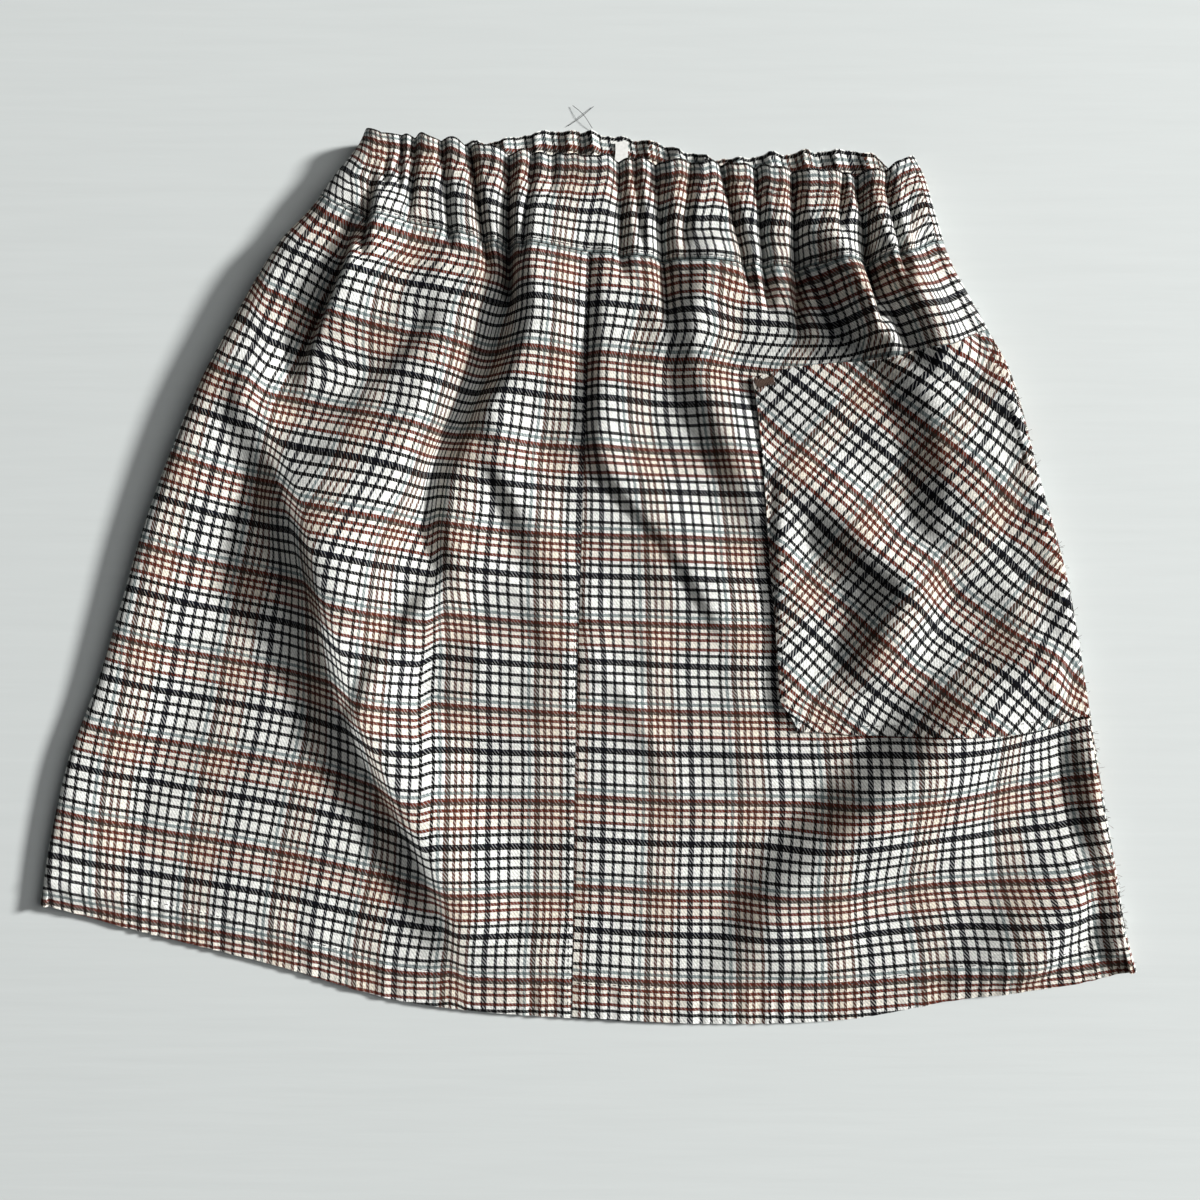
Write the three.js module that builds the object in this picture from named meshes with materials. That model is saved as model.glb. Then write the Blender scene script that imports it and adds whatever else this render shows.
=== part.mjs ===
// A child's A-line skirt in woven plaid, laid flat on its back.
// Millimetres. +X runs to the skirt's right-hand side as it is seen from above, +Y runs up to the waist,
// and +Z points away from the surface that the skirt lies on. The front lies on the back, and gathers,
// folds and the rolls of cloth at the sides stand up from it.
import * as THREE from "three";

// ---------- driving sizes ----------
const WALL = 1.0; // thickness of the cloth in every piece
const SEAM_GAP = 0.3; // room between pieces that are sewn together or laid on each other
const WAIST_SEAM_GAP = 0.45; // the same at the waist seam, measured along Y, since parts of it run at a slant
const FRONT_REST = 2 * WALL + 0.4; // height of the front's outer face where it rests on the back
const WAIST_LIFT = 17.2; // height of the front's outer face at the waist, held up by its gathers
const SETTLE = 118; // how far below the waist seam the front takes to come down to the back
const SETTLE_SHAPE = 2.2; // above 1, it comes down sooner
const SIDE_FALL_LEFT = 34; // width of the slope from the left side's roll down to the front
const SIDE_FALL_RIGHT = 26;
const SIDE_CALM = 14; // gathers and folds die out over this distance from a side's roll
const LEVEL_BLEND = 0.6; // how gently the front comes to rest on the back
const BACK_HEM_SHORT = 1.5; // the back's hem ends this much above the front's
const HEM_CORNER = 30; // but meets it again over this distance from the sides
const BAND_HEIGHT = 39; // waist seam to the top of the frill
const CHANNEL_HEIGHT = 28; // waist seam to the stitching above the elastic
const STITCH_PINCH = 0.8; // how far that stitching pulls the cloth down
const PINCH_REACH = 3.5;
const DEEPEST_GATHER = 6.3;
const DEEPEST_BACK_GATHER = 3.0;
const GATHER_FADE = 15; // length over which a gather dies out
const CENTRE = { x: 0.1, y: -1.22 }; // middle of the drawn outline, moved to the origin

// ---------- tables ----------
// Names the columns of a short table of numbers.
function table(columns, ...lines) {
  const names = columns.split(" ");
  return lines.map((line) => Object.fromEntries(names.map((name, i) => [name, line[i]])));
}

// The two sides as seen from above, waist to hem, with the radius of the roll of cloth there.
const LEFT_SIDE = table(
  "x y radius",
  [-89.5, 178.0, 8.5],
  [-92.9, 170.9, 8.6],
  [-101.6, 159.9, 8.8],
  [-111.6, 146.3, 9.0],
  [-124.1, 133.0, 9.0],
  [-140.9, 105.5, 8.5],
  [-158.4, 72.9, 7.7],
  [-177.4, 25.7, 6.5],
  [-188.5, -10.7, 5.9],
  [-198.8, -43.9, 5.3],
  [-210.0, -72.8, 4.8],
  [-217.9, -105.4, 4.3],
  [-222.6, -134.0, 3.9],
);
const RIGHT_SIDE = table(
  "x y radius",
  [131.2, 167.6, 7.4],
  [135.5, 159.1, 7.4],
  [139.8, 144.6, 7.3],
  [146.2, 125.9, 7.0],
  [160.3, 100.4, 6.6],
  [171.1, 80.0, 6.2],
  [183.3, 36.7, 5.6],
  [194.0, -1.8, 5.1],
  [202.7, -52.1, 4.6],
  [208.4, -87.0, 4.2],
  [214.3, -119.6, 3.8],
  [218.5, -145.0, 3.6],
  [222.8, -161.0, 3.4],
);
// How far the back is wrapped round the right side before it meets the front.
const WRAP = table("y width", [168, 4.0], [126, 4.0], [80, 3.6], [0, 2.2], [-161, 1.6]);

// The inner points of the lines that run across the skirt. Their ends lie on the sides.
const WAIST_SEAM = table(
  "x y",
  [-87.7, 141.0],
  [-66.8, 137.9],
  [-25.1, 129.6],
  [20.6, 125.9],
  [60.3, 122.9],
  [84.2, 121.9],
  [124.2, 125.5],
);
const FRILL_TOP = table(
  "x y",
  [-62.6, 173.3],
  [-27.0, 167.4],
  [24.5, 164.2],
  [64.1, 162.0],
  [99.7, 159.5],
  [116.0, 160.3],
);
const HEM = table(
  "x y",
  [-194.4, -142.5],
  [-127.1, -159.6],
  [-82.6, -172.6],
  [-48.3, -177.9],
  [-6.7, -180.9],
  [45.5, -183.2],
  [103.8, -181.6],
  [150.7, -173.5],
  [197.6, -167.3],
);
const BACK_WAIST_SEAM = table(
  "x y",
  [-66, 146.0],
  [-20, 139.5],
  [30, 137.0],
  [84, 133.0],
  [124, 132.5],
);
const BACK_FRILL_TOP = table(
  "x y",
  [-40.0, 176.4],
  [-14.4, 180.8],
  [21.0, 177.2],
  [53.5, 169.4],
  [76.0, 171.5],
  [114.5, 172.0],
);
const CENTRE_SEAM = table("y x", [128.4, 0.7], [46.6, -1.8], [-62.0, -5.1], [-180.9, -6.7]);

// Gathers of the front waistband: the valley between two ridges, where it crosses the frill's top and the
// waist seam, its depth and half its width, and how far below the seam it dies out (above it, if negative).
const GATHERS = table(
  "top seam depth half reach",
  [-86, -87.5, 5.0, 6.0, 20],
  [-80, -81.5, 2.0, 3.5, -12],
  [-74, -75.5, 2.6, 3.8, -9],
  [-69, -71.0, 3.2, 4.0, 2],
  [-59, -55.0, 3.2, 4.5, 8],
  [-48, -41.5, 4.2, 5.0, 14],
  [-32, -32.0, 6.2, 6.0, 26],
  [-22, -25.5, 3.0, 3.8, 10],
  [-14, -15.0, 2.2, 3.6, -16],
  [12, 13.5, 4.4, 5.2, 14],
  [18, 22.0, 2.6, 3.8, 4],
  [27, 30.0, 6.2, 6.0, 30],
  [41, 37.5, 3.2, 4.2, 0],
  [53, 62.5, 3.6, 4.6, 12],
  [67, 70.5, 4.2, 4.6, 20],
  [82, 83.5, 6.2, 6.0, 30],
  [102, 99.0, 2.6, 4.0, -8],
  [107, 112.0, 6.0, 6.0, 34],
  [118.5, 123.0, 4.0, 4.6, 14],
  [127, 130.0, 2.6, 3.8, 2],
);
// The same on the back's waistband, whose valleys lie flat on the surface and which die out at its seam.
const BACK_GATHERS = table(
  "top seam depth half reach",
  [-70, -72, 2.6, 4.8, 1],
  [-59, -58, 3.2, 5.2, 1],
  [-47, -44, 2.3, 4.6, -1],
  [-34, -33, 3.1, 5.2, 1],
  [-21, -22, 2.8, 4.8, 0],
  [-8, -9, 2.3, 4.4, -1],
  [1, 3, 2.6, 4.4, 0],
  [25, 22, 3.2, 5.2, 1],
  [36, 37, 2.5, 4.6, -1],
  [47, 50, 3.0, 5.0, 0],
  [61, 62, 2.5, 4.6, -1],
  [74, 76, 3.2, 5.2, 1],
  [88, 90, 2.5, 4.6, 0],
  [101, 104, 3.0, 5.0, 1],
  [113, 117, 2.3, 4.6, -1],
);

// Folds of the front: the line along the crest, with the height of the crest above the cloth around it (a
// valley is negative), and how wide the fold is on its left and on its right.
const FOLDS = [
  {
    name: "side drape",
    left: 20,
    right: 36,
    line: table(
      "x y rise",
      [-141, 72, 0],
      [-129, 54, 4],
      [-118, 29, 8],
      [-109, 1, 10],
      [-105, -27, 10],
      [-97, -57, 9],
      [-80, -93, 7],
      [-63, -128, 4.5],
      [-54, -165, 0],
    ),
  },
  {
    name: "ridge from the left gathers",
    left: 22,
    right: 18,
    line: table(
      "x y rise",
      [-46, 145, 0],
      [-50, 118, 4],
      [-69, 70, 5],
      [-82, 42, 4],
      [-93, 14, 3],
      [-99, -15, 0],
    ),
  },
  {
    name: "ridge beside the left valley",
    left: 10,
    right: 22,
    line: table(
      "x y rise",
      [-78, 150, 0],
      [-84, 126, 4.5],
      [-96, 104, 7],
      [-106, 81, 5],
      [-113, 62, 0],
    ),
  },
  {
    name: "ridge left of the centre seam",
    left: 12,
    right: 24,
    line: table(
      "x y rise",
      [-22, 152, 0],
      [-22, 126, 3],
      [-23, 104, 5.5],
      [-32, 81, 6],
      [-44, 58, 5],
      [-51, 34, 4],
      [-48, 6, 3],
      [-40, -19, 0],
    ),
  },
  {
    name: "ridge along the centre seam",
    left: 8,
    right: 22,
    line: table(
      "x y rise",
      [5, 134, 0],
      [6, 97, 4],
      [8, 70, 4.5],
      [17, 46, 4.5],
      [35, 18, 3.5],
      [50, -13, 0],
    ),
  },
  {
    name: "ridge left of the pocket",
    left: 14,
    right: 16,
    line: table("x y rise", [49, 140, 0], [49, 112, 4], [50, 70, 4], [55, 50, 3], [65, 26, 0]),
  },
  {
    name: "ridge above the pocket",
    left: 14,
    right: 9,
    line: table(
      "x y rise",
      [102, 146, 0],
      [105, 126, 4],
      [110, 111, 6.5],
      [120, 92, 8],
      [127, 70, 4],
      [133, 50, 0],
    ),
  },
  {
    name: "bulge at the right side",
    left: 11,
    right: 20,
    line: table(
      "x y rise",
      [119, 148, 0],
      [124, 124, 3.5],
      [132, 107, 6],
      [143, 88, 7],
      [150, 62, 4],
      [152, 30, 3],
      [150, 0, 0],
    ),
  },
  {
    name: "sweep below the pocket",
    left: 30,
    right: 44,
    line: table(
      "x y rise",
      [203, -62, 0],
      [191, -69, 4],
      [170, -81, 6],
      [146, -97, 6.5],
      [118, -120, 5.5],
      [86, -142, 3.5],
      [68, -165, 0],
    ),
  },
  {
    name: "swell under the pocket",
    left: 16,
    right: 20,
    line: table(
      "x y rise",
      [104, 54, 0],
      [118, 18, 3],
      [126, -11, 4],
      [126, -39, 3],
      [119, -62, 0],
    ),
  },
  {
    name: "low ridge at the left of the middle",
    left: 13,
    right: 20,
    line: table("x y rise", [-57, -5, 0], [-70, -27, 2.5], [-85, -51, 2.5], [-91, -76, 0]),
  },
  {
    name: "low ridge in the middle",
    left: 12,
    right: 18,
    line: table(
      "x y rise",
      [-34, 54, 0],
      [-28, 34, 2],
      [-20, 10, 2],
      [-12, -27, 1.5],
      [-5, -60, 0],
    ),
  },
  {
    name: "left valley",
    left: 9,
    right: 8,
    line: table(
      "x y rise",
      [-86, 146, 0],
      [-90, 136, -2],
      [-97, 124, -4.5],
      [-110, 102, -5],
      [-118, 80, 0],
    ),
  },
  {
    name: "valley left of the centre seam",
    left: 10,
    right: 8,
    line: table(
      "x y rise",
      [-32, 136, 0],
      [-33, 117, -4],
      [-40, 94, -5],
      [-50, 70, -4],
      [-62, 46, -4],
      [-64, 22, -3],
      [-59, -6, 0],
    ),
  },
  {
    name: "hollow above the pocket",
    left: 12,
    right: 10,
    line: table(
      "x y rise",
      [87, 132, 0],
      [91, 122, -2],
      [97, 109, -5],
      [104, 93, -5],
      [110, 72, 0],
    ),
  },
];

// The pocket on the right front. across is the share of the way from the centre seam to the top of the side's
// roll, and down the share of the way from the waist seam to the hem.
const POCKET_LEFT = 0.414;
const POCKET_TOP = table(
  "across down",
  [0.414, 0.141],
  [0.547, 0.125],
  [0.69, 0.122],
  [0.89, 0.117],
  [2, 0.122],
);
const POCKET_BOTTOM = table(
  "across down",
  [0.414, 0.613],
  [0.5, 0.617],
  [0.644, 0.632],
  [0.866, 0.643],
  [2, 0.65],
);
const POCKET_CORNER = { bottom: 0.03, above: 0.004, reach: 0.12 }; // how far its lower left corner is rounded
const POCKET_GAP = 0.4;
const POCKET_MOUTH = { standOff: 1.4, reach: 0.09 }; // how far its top edge stands off the front
// The size label on the inside of the back's waistband, as shares of its width and height.
const LABEL = { from: 0.5282, to: 0.5526, top: 0.064, bottom: 0.455 };

// ---------- small helpers ----------
const HALF_TURN = Math.PI;
const QUARTER_TURN = Math.PI / 2;
const lerp = (a, b, t) => a + (b - a) * t;
const clamp01 = (t) => Math.min(1, Math.max(0, t));
const smooth = (t) => clamp01(t) ** 2 * (3 - 2 * clamp01(t));
// The larger of two heights, rounded off where they meet.
const softMax = (a, b, blend) => 0.5 * (a + b + Math.hypot(a - b, blend));

// A smooth curve through a table's rows: the value column as a function of the key column. It runs on
// straight past its ends.
function curve(lines, key, value) {
  const points = lines.map((line) => [line[key], line[value]]).sort((p, q) => p[0] - q[0]);
  const last = points.length - 1;
  const slope = (i) => {
    const before = points[Math.max(0, i - 1)];
    const after = points[Math.min(last, i + 1)];
    return (after[1] - before[1]) / (after[0] - before[0]);
  };
  return (at) => {
    if (at <= points[0][0]) return points[0][1] + slope(0) * (at - points[0][0]);
    if (at >= points[last][0]) return points[last][1] + slope(last) * (at - points[last][0]);
    const i = points.findIndex((p) => p[0] > at) - 1;
    const [x0, y0] = points[i];
    const [x1, y1] = points[i + 1];
    const span = x1 - x0;
    const t = (at - x0) / span;
    const stay = y0 * (1 + 2 * t) * (1 - t) ** 2 + y1 * t * t * (3 - 2 * t);
    return stay + span * (slope(i) * t * (1 - t) ** 2 - slope(i + 1) * t * t * (1 - t));
  };
}

// ---------- the sides ----------
// A side is a line seen from above and a roll of cloth along it. inward is +1 or -1 along X.
function makeSide(lines, inward) {
  const x = curve(lines, "y", "x");
  const radius = curve(lines, "y", "radius");
  const step = 0.5;
  // The point at height y on the line, moved inwards at right angles to it.
  const inside = (y, distance) => {
    const run = x(y + step) - x(y - step);
    const length = Math.hypot(run, 2 * step);
    return [x(y) + (inward * distance * 2 * step) / length, y - (inward * distance * run) / length];
  };
  const top = (y) => inside(y, radius(y));
  // A point of the roll's outer face. The angle is a quarter turn on top and minus that underneath.
  const roll = (y, angle) => {
    const [px, py] = inside(y, radius(y) * (1 - Math.cos(angle)));
    return new THREE.Vector3(px, py, radius(y) * (1 + Math.sin(angle)));
  };
  return { radius, inside, top, roll };
}
const left = makeSide(LEFT_SIDE, 1);
const right = makeSide(RIGHT_SIDE, -1);
const wrapWidth = curve(WRAP, "y", "width");
// The angle on the right side's roll at which the back (end -1) and the front (end 1) meet, half a gap apart.
const wrapAngle = (y, end) =>
  Math.acos(1 - wrapWidth(y) / right.radius(y)) + (end * SEAM_GAP) / 2 / right.radius(y);

// Heights on the two sides at which the waist seam, the top of the frill and the hem meet them.
const LEFT_ENDS = { top: 178.0, waist: 151.5, hem: -134.0 };
const RIGHT_ENDS = { top: 167.6, waist: 133.9, hem: -161.0 };

// A line across the skirt from one side to the other: y as a function of x.
function acrossLine(inner, end) {
  const [lx, ly] = left.top(LEFT_ENDS[end]);
  const [rx, ry] = right.top(RIGHT_ENDS[end]);
  return curve([{ x: lx, y: ly }, ...inner, { x: rx, y: ry }], "x", "y");
}
const waistSeam = acrossLine(WAIST_SEAM, "waist");
const frillTop = acrossLine(FRILL_TOP, "top");
const hem = acrossLine(HEM, "hem");
const backWaistSeam = acrossLine(BACK_WAIST_SEAM, "waist");
const backFrillTop = acrossLine(BACK_FRILL_TOP, "top");
const centreSeam = curve(CENTRE_SEAM, "y", "x");

// ---------- heights ----------
// How deep the gathers are at x, at a height up above (or below) the waist seam. No overlap of two gathers
// gets deeper than the deepest.
function gatherDepth(gathers, deepest, x, up) {
  let stays = 1;
  for (const g of gathers) {
    const middle = lerp(g.seam, g.top, up / BAND_HEIGHT);
    const near = clamp01(1 - Math.abs(x - middle) / (2 * g.half)) * 2 - 1;
    const across = near > 0 ? 0.5 - 0.5 * Math.cos(HALF_TURN * near) : 0;
    stays *= 1 - Math.min(1, g.depth / deepest) * across * smooth((up + g.reach) / GATHER_FADE);
  }
  return deepest * (1 - stays);
}

const foldCurves = FOLDS.map((fold) => ({
  ...fold,
  x: curve(fold.line, "y", "x"),
  rise: curve(fold.line, "y", "rise"),
  top: Math.max(...fold.line.map((p) => p.y)),
  bottom: Math.min(...fold.line.map((p) => p.y)),
}));

// The height that all folds together add at a point.
function foldHeight(x, y) {
  const step = 1;
  let height = 0;
  for (const fold of foldCurves) {
    if (y > fold.top || y < fold.bottom) continue;
    const lean = (fold.x(y + step) - fold.x(y - step)) / (2 * step);
    const off = (x - fold.x(y)) / Math.hypot(1, lean);
    const width = off < 0 ? fold.left : fold.right;
    height += fold.rise(y) * (1 - smooth(Math.abs(off) / width));
  }
  return height;
}

// The height of the front's outer face. leftTop and rightTop are the ends of the row that the point is in.
function frontHeight([x, y], leftTop, rightTop, leftRadius, rightRadius) {
  const up = y - waistSeam(x);
  const base = lerp(FRONT_REST, WAIST_LIFT, (1 - smooth(-up / SETTLE)) ** SETTLE_SHAPE);
  const fromLeft = Math.hypot(x - leftTop[0], y - leftTop[1]);
  const fromRight = Math.hypot(x - rightTop[0], y - rightTop[1]);
  const free = smooth(Math.min(fromLeft, fromRight) / SIDE_CALM);
  const pinch = STITCH_PINCH * Math.exp(-(((up - CHANNEL_HEIGHT) / PINCH_REACH) ** 2));
  const shape = foldHeight(x, y) - gatherDepth(GATHERS, DEEPEST_GATHER, x, up) - pinch;
  const lifted =
    base +
    (2 * leftRadius - base) * (1 - smooth(fromLeft / SIDE_FALL_LEFT)) +
    (2 * rightRadius - base) * (1 - smooth(fromRight / SIDE_FALL_RIGHT)) +
    shape * free;
  return softMax(lifted, FRONT_REST, LEVEL_BLEND);
}

// ---------- the rows of each piece ----------
// A point between two ends, corrected so that the first and last rows follow their own lines across.
function between(start, end, firstLine, lastLine, first, last, t, v) {
  const x = lerp(start[0], end[0], t);
  let y = lerp(start[1], end[1], t);
  for (const [line, ends, share] of [
    [firstLine, first, 1 - v],
    [lastLine, last, v],
  ]) {
    const straight = lerp(ends[0][1], ends[1][1], t);
    y += share * (line(lerp(ends[0][0], ends[1][0], t)) - straight);
  }
  return [x, y];
}

// A row of the front, v of the way from the waist seam to the hem. half is -1 for the left front and 1 for
// the right front, which end half a gap short of the centre seam.
function frontRow(v, half) {
  const yLeft = lerp(LEFT_ENDS.waist, LEFT_ENDS.hem, v);
  const yRight = lerp(RIGHT_ENDS.waist, RIGHT_ENDS.hem, v);
  const ySeam = lerp(CENTRE_SEAM[0].y, CENTRE_SEAM.at(-1).y, v);
  const seam = [centreSeam(ySeam) + (half * SEAM_GAP) / 2, ySeam];
  return { yLeft, yRight, leftTop: left.top(yLeft), rightTop: right.top(yRight), seam };
}

function onFront(row, point) {
  const z = frontHeight(point, row.leftTop, row.rightTop, left.radius(row.yLeft), right.radius(row.yRight));
  return new THREE.Vector3(point[0], point[1], z);
}

// Left front. a runs from -1, under the left side, over the roll at 0, to 1 at the centre seam.
function leftFront(a, v) {
  const row = frontRow(v, -1);
  if (a < 0) return left.roll(row.yLeft, QUARTER_TURN + HALF_TURN * a);
  const [first, last] = [frontRow(0, -1), frontRow(1, -1)].map((end) => [end.leftTop, end.seam]);
  return onFront(row, between(row.leftTop, row.seam, waistSeam, hem, first, last, a, v));
}

// Right front. a runs from 0 at the centre seam to 1 at the top of the right roll, then down it to 2.
function rightFront(a, v) {
  const row = frontRow(v, 1);
  if (a > 1) return right.roll(row.yRight, lerp(QUARTER_TURN, wrapAngle(row.yRight, 1), a - 1));
  const [first, last] = [frontRow(0, 1), frontRow(1, 1)].map((end) => [end.seam, end.rightTop]);
  return onFront(row, between(row.seam, row.rightTop, waistSeam, hem, first, last, a, v));
}

// Front waistband. a runs from -1 under the left side to 2 at the wrap, and w from the frill's top (0) down
// to the waist seam (1).
function frontBand(a, w) {
  const yLeft = lerp(LEFT_ENDS.top, LEFT_ENDS.waist, w);
  const yRight = lerp(RIGHT_ENDS.top, RIGHT_ENDS.waist, w);
  if (a < 0) return left.roll(yLeft, QUARTER_TURN + HALF_TURN * a);
  if (a > 1) return right.roll(yRight, lerp(QUARTER_TURN, wrapAngle(yRight, 1), a - 1));
  const row = { yLeft, yRight, leftTop: left.top(yLeft), rightTop: right.top(yRight) };
  const first = [left.top(LEFT_ENDS.top), right.top(RIGHT_ENDS.top)];
  const last = [left.top(LEFT_ENDS.waist), right.top(RIGHT_ENDS.waist)];
  return onFront(row, between(row.leftTop, row.rightTop, frillTop, waistSeam, first, last, a, w));
}

// The back and its waistband. a runs from -1 at the wrap, down the right roll to 0 underneath it, then flat
// to 1, where the front comes round the left side.
function backSheet(a, yLeft, yRight, ends, lines, share, height) {
  if (a < 0) return right.roll(yRight, lerp(-QUARTER_TURN, wrapAngle(yRight, -1), -a));
  const leftEnd = (y) => left.inside(y, left.radius(y) + SEAM_GAP);
  const first = [right.top(RIGHT_ENDS[ends[0]]), leftEnd(LEFT_ENDS[ends[0]])];
  const last = [right.top(RIGHT_ENDS[ends[1]]), leftEnd(LEFT_ENDS[ends[1]])];
  const point = between(right.top(yRight), leftEnd(yLeft), lines[0], lines[1], first, last, a, share);
  return new THREE.Vector3(point[0], point[1], height(point[0], point[1], Math.min(a, 1 - a)));
}

const BACK_EDGE_FADE = 0.08; // share of the back's width over which its gathers begin
const backHeight = (x, y, fromEnd) =>
  gatherDepth(BACK_GATHERS, DEEPEST_BACK_GATHER, x, y - backWaistSeam(x)) * smooth(fromEnd / BACK_EDGE_FADE);
const flatHeight = () => 0;

function back(a, v) {
  const yLeft = lerp(LEFT_ENDS.waist, LEFT_ENDS.hem, v);
  const yRight = lerp(RIGHT_ENDS.waist, RIGHT_ENDS.hem, v);
  const fromSides = (x) => Math.min(x - left.top(LEFT_ENDS.hem)[0], right.top(RIGHT_ENDS.hem)[0] - x);
  const backHem = (x) => hem(x) + BACK_HEM_SHORT * smooth(fromSides(x) / HEM_CORNER);
  return backSheet(a, yLeft, yRight, ["waist", "hem"], [backWaistSeam, backHem], v, flatHeight);
}

function backBand(a, w) {
  const yLeft = lerp(LEFT_ENDS.top, LEFT_ENDS.waist, w);
  const yRight = lerp(RIGHT_ENDS.top, RIGHT_ENDS.waist, w);
  return backSheet(a, yLeft, yRight, ["top", "waist"], [backFrillTop, backWaistSeam], w, backHeight);
}

// ---------- walls ----------
// The direction out of a sheet's outer face, from how its points move with a and v.
function outward(sheet, a, v) {
  const step = 1e-3;
  const alongA = sheet(a + step, v).sub(sheet(a - step, v));
  const alongV = sheet(a, v + step).sub(sheet(a, v - step));
  return alongV.cross(alongA).normalize();
}

const sameSpot = (a, v) => [a, v];
const onSheet = () => 0;
const underSheet = () => -WALL;

// The point of a sheet's own flat triangles at a spot, when the sheet is drawn with these columns and rows.
function onTriangles(sheet, across, down) {
  const cell = (lines, at) => Math.min(lines.length - 2, Math.max(0, lines.findIndex((line) => line > at) - 1));
  return (a, v) => {
    const i = a >= across.at(-1) ? across.length - 2 : cell(across, a);
    const j = cell(down, v);
    const s = (a - across[i]) / (across[i + 1] - across[i]);
    const t = (v - down[j]) / (down[j + 1] - down[j]);
    const near = sheet(across[i], down[j]);
    const far = sheet(across[i + 1], down[j + 1]);
    const corner = s > t ? sheet(across[i + 1], down[j]) : sheet(across[i], down[j + 1]);
    const viaCorner = Math.abs(s - t);
    near.multiplyScalar(1 - Math.max(s, t));
    return near.addScaledVector(corner, viaCorner).addScaledVector(far, Math.min(s, t));
  };
}

// A closed wall on a grid of a sheet's points, moved out of it by one distance for the wall's outer face and
// by another for its inner face. place says which spot of the sheet a grid point takes, and points may give
// the point there another way.
function wall(sheet, across, down, options = {}) {
  const { outer = onSheet, inner = underSheet, place = sameSpot, points = sheet } = options;
  const positions = [];
  const columns = across.length;
  const rows = down.length;
  for (const distance of [outer, inner]) {
    for (const column of across) {
      for (const row of down) {
        const [a, v] = place(column, row);
        const point = points(a, v).addScaledVector(outward(sheet, a, v), distance(a, v));
        positions.push(point.x - CENTRE.x, point.y - CENTRE.y, point.z);
      }
    }
  }
  const index = [];
  const at = (face, i, j) => (face * columns + i) * rows + j;
  const quad = (p, q, r, s) => index.push(p, q, r, p, r, s);
  const lastColumn = columns - 1;
  const lastRow = rows - 1;
  for (let i = 0; i < lastColumn; i += 1) {
    for (let j = 0; j < lastRow; j += 1) {
      quad(at(0, i, j), at(0, i, j + 1), at(0, i + 1, j + 1), at(0, i + 1, j));
      quad(at(1, i, j), at(1, i + 1, j), at(1, i + 1, j + 1), at(1, i, j + 1));
    }
    quad(at(0, i, 0), at(0, i + 1, 0), at(1, i + 1, 0), at(1, i, 0));
    quad(at(0, i + 1, lastRow), at(0, i, lastRow), at(1, i, lastRow), at(1, i + 1, lastRow));
  }
  for (let j = 0; j < lastRow; j += 1) {
    quad(at(0, 0, j + 1), at(0, 0, j), at(1, 0, j), at(1, 0, j + 1));
    quad(at(0, lastColumn, j), at(0, lastColumn, j + 1), at(1, lastColumn, j + 1), at(1, lastColumn, j));
  }
  const geometry = new THREE.BufferGeometry();
  geometry.setAttribute("position", new THREE.Float32BufferAttribute(positions, 3));
  geometry.setIndex(index);
  geometry.computeVertexNormals();
  return geometry;
}

// Evenly spaced values from one number to another.
const steps = (from, to, count) => Array.from({ length: count + 1 }, (_, i) => lerp(from, to, i / count));

// ---------- rows and columns ----------
// The waistband's columns are those of the two fronts, so that its seam follows theirs point by point.
const leftRoll = steps(-1, 0, 6);
const rightRoll = steps(1, 2, 4);
const leftFlat = steps(0, 1, 30);
const rightFlat = steps(0, 1, 40);
const seamStart = left.top(LEFT_ENDS.waist)[0];
const seamMiddle = CENTRE_SEAM[0].x;
const seamEnd = right.top(RIGHT_ENDS.waist)[0];
const seamShare = (x) => (x - seamStart) / (seamEnd - seamStart);
const bandFlat = [
  ...leftFlat.map((t) => seamShare(lerp(seamStart, seamMiddle, t))),
  ...rightFlat.slice(1).map((t) => seamShare(lerp(seamMiddle, seamEnd, t))),
];
const wrapColumns = steps(-1, 0, 5);
const backColumns = [...wrapColumns, ...steps(0, 1, 20).slice(1)];
const backBandColumns = [...wrapColumns, ...steps(0, 1, 60).slice(1)];

// Rows are closer together where the gathers run out.
const NEAR_WAIST_ROWS = [0, 0.02, 0.045, 0.075, 0.11, 0.15];
const PANEL_ROWS = [
  ...NEAR_WAIST_ROWS,
  ...steps(0.2, 0.3, 2),
  ...steps(0.36, 0.6, 4),
  ...steps(0.68, 1, 4),
];
const BAND_ROWS = [0, 0.14, 0.282, 0.45, 0.62, 0.8, 1];

// ---------- the pocket ----------
const pocketTop = curve(POCKET_TOP, "across", "down");
const pocketBottom = curve(POCKET_BOTTOM, "across", "down");
const UPPER_EDGE = 0;
const LOWER_EDGE = 1;
const pocketInside = PANEL_ROWS.filter((v) => v > POCKET_TOP[0].down && v < POCKET_BOTTOM[0].down);
const lowestInside = pocketInside.at(-1);
const pocketRows = [UPPER_EDGE, ...pocketInside, LOWER_EDGE];
const pocketColumns = [POCKET_LEFT, ...rightFlat.filter((a) => a > POCKET_LEFT + 0.01), ...rightRoll.slice(1)];

// The pocket keeps to the front's own rows and columns, except round its edge.
function pocketPlace(a, v) {
  const nearLeft = clamp01(1 - (a - POCKET_LEFT) / POCKET_CORNER.reach);
  if (v === UPPER_EDGE) return [a, pocketTop(a)];
  if (v === LOWER_EDGE) return [a + POCKET_CORNER.bottom * nearLeft, pocketBottom(a)];
  if (v === lowestInside) return [a + POCKET_CORNER.above * nearLeft, v];
  return [a, v];
}
const pocketStandOff = (a, v) =>
  POCKET_GAP + POCKET_MOUTH.standOff * (1 - smooth((v - pocketTop(a)) / POCKET_MOUTH.reach));

// ---------- pieces ----------
// Moves a sheet by half a seam's gap: panels (-1) down, and waistbands (1) up.
const PANEL = -1;
const BAND = 1;
function seamed(sheet, side) {
  const shift = new THREE.Vector3(0, (side * WAIST_SEAM_GAP) / 2, 0);
  return (a, v) => sheet(a, v).add(shift);
}

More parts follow.
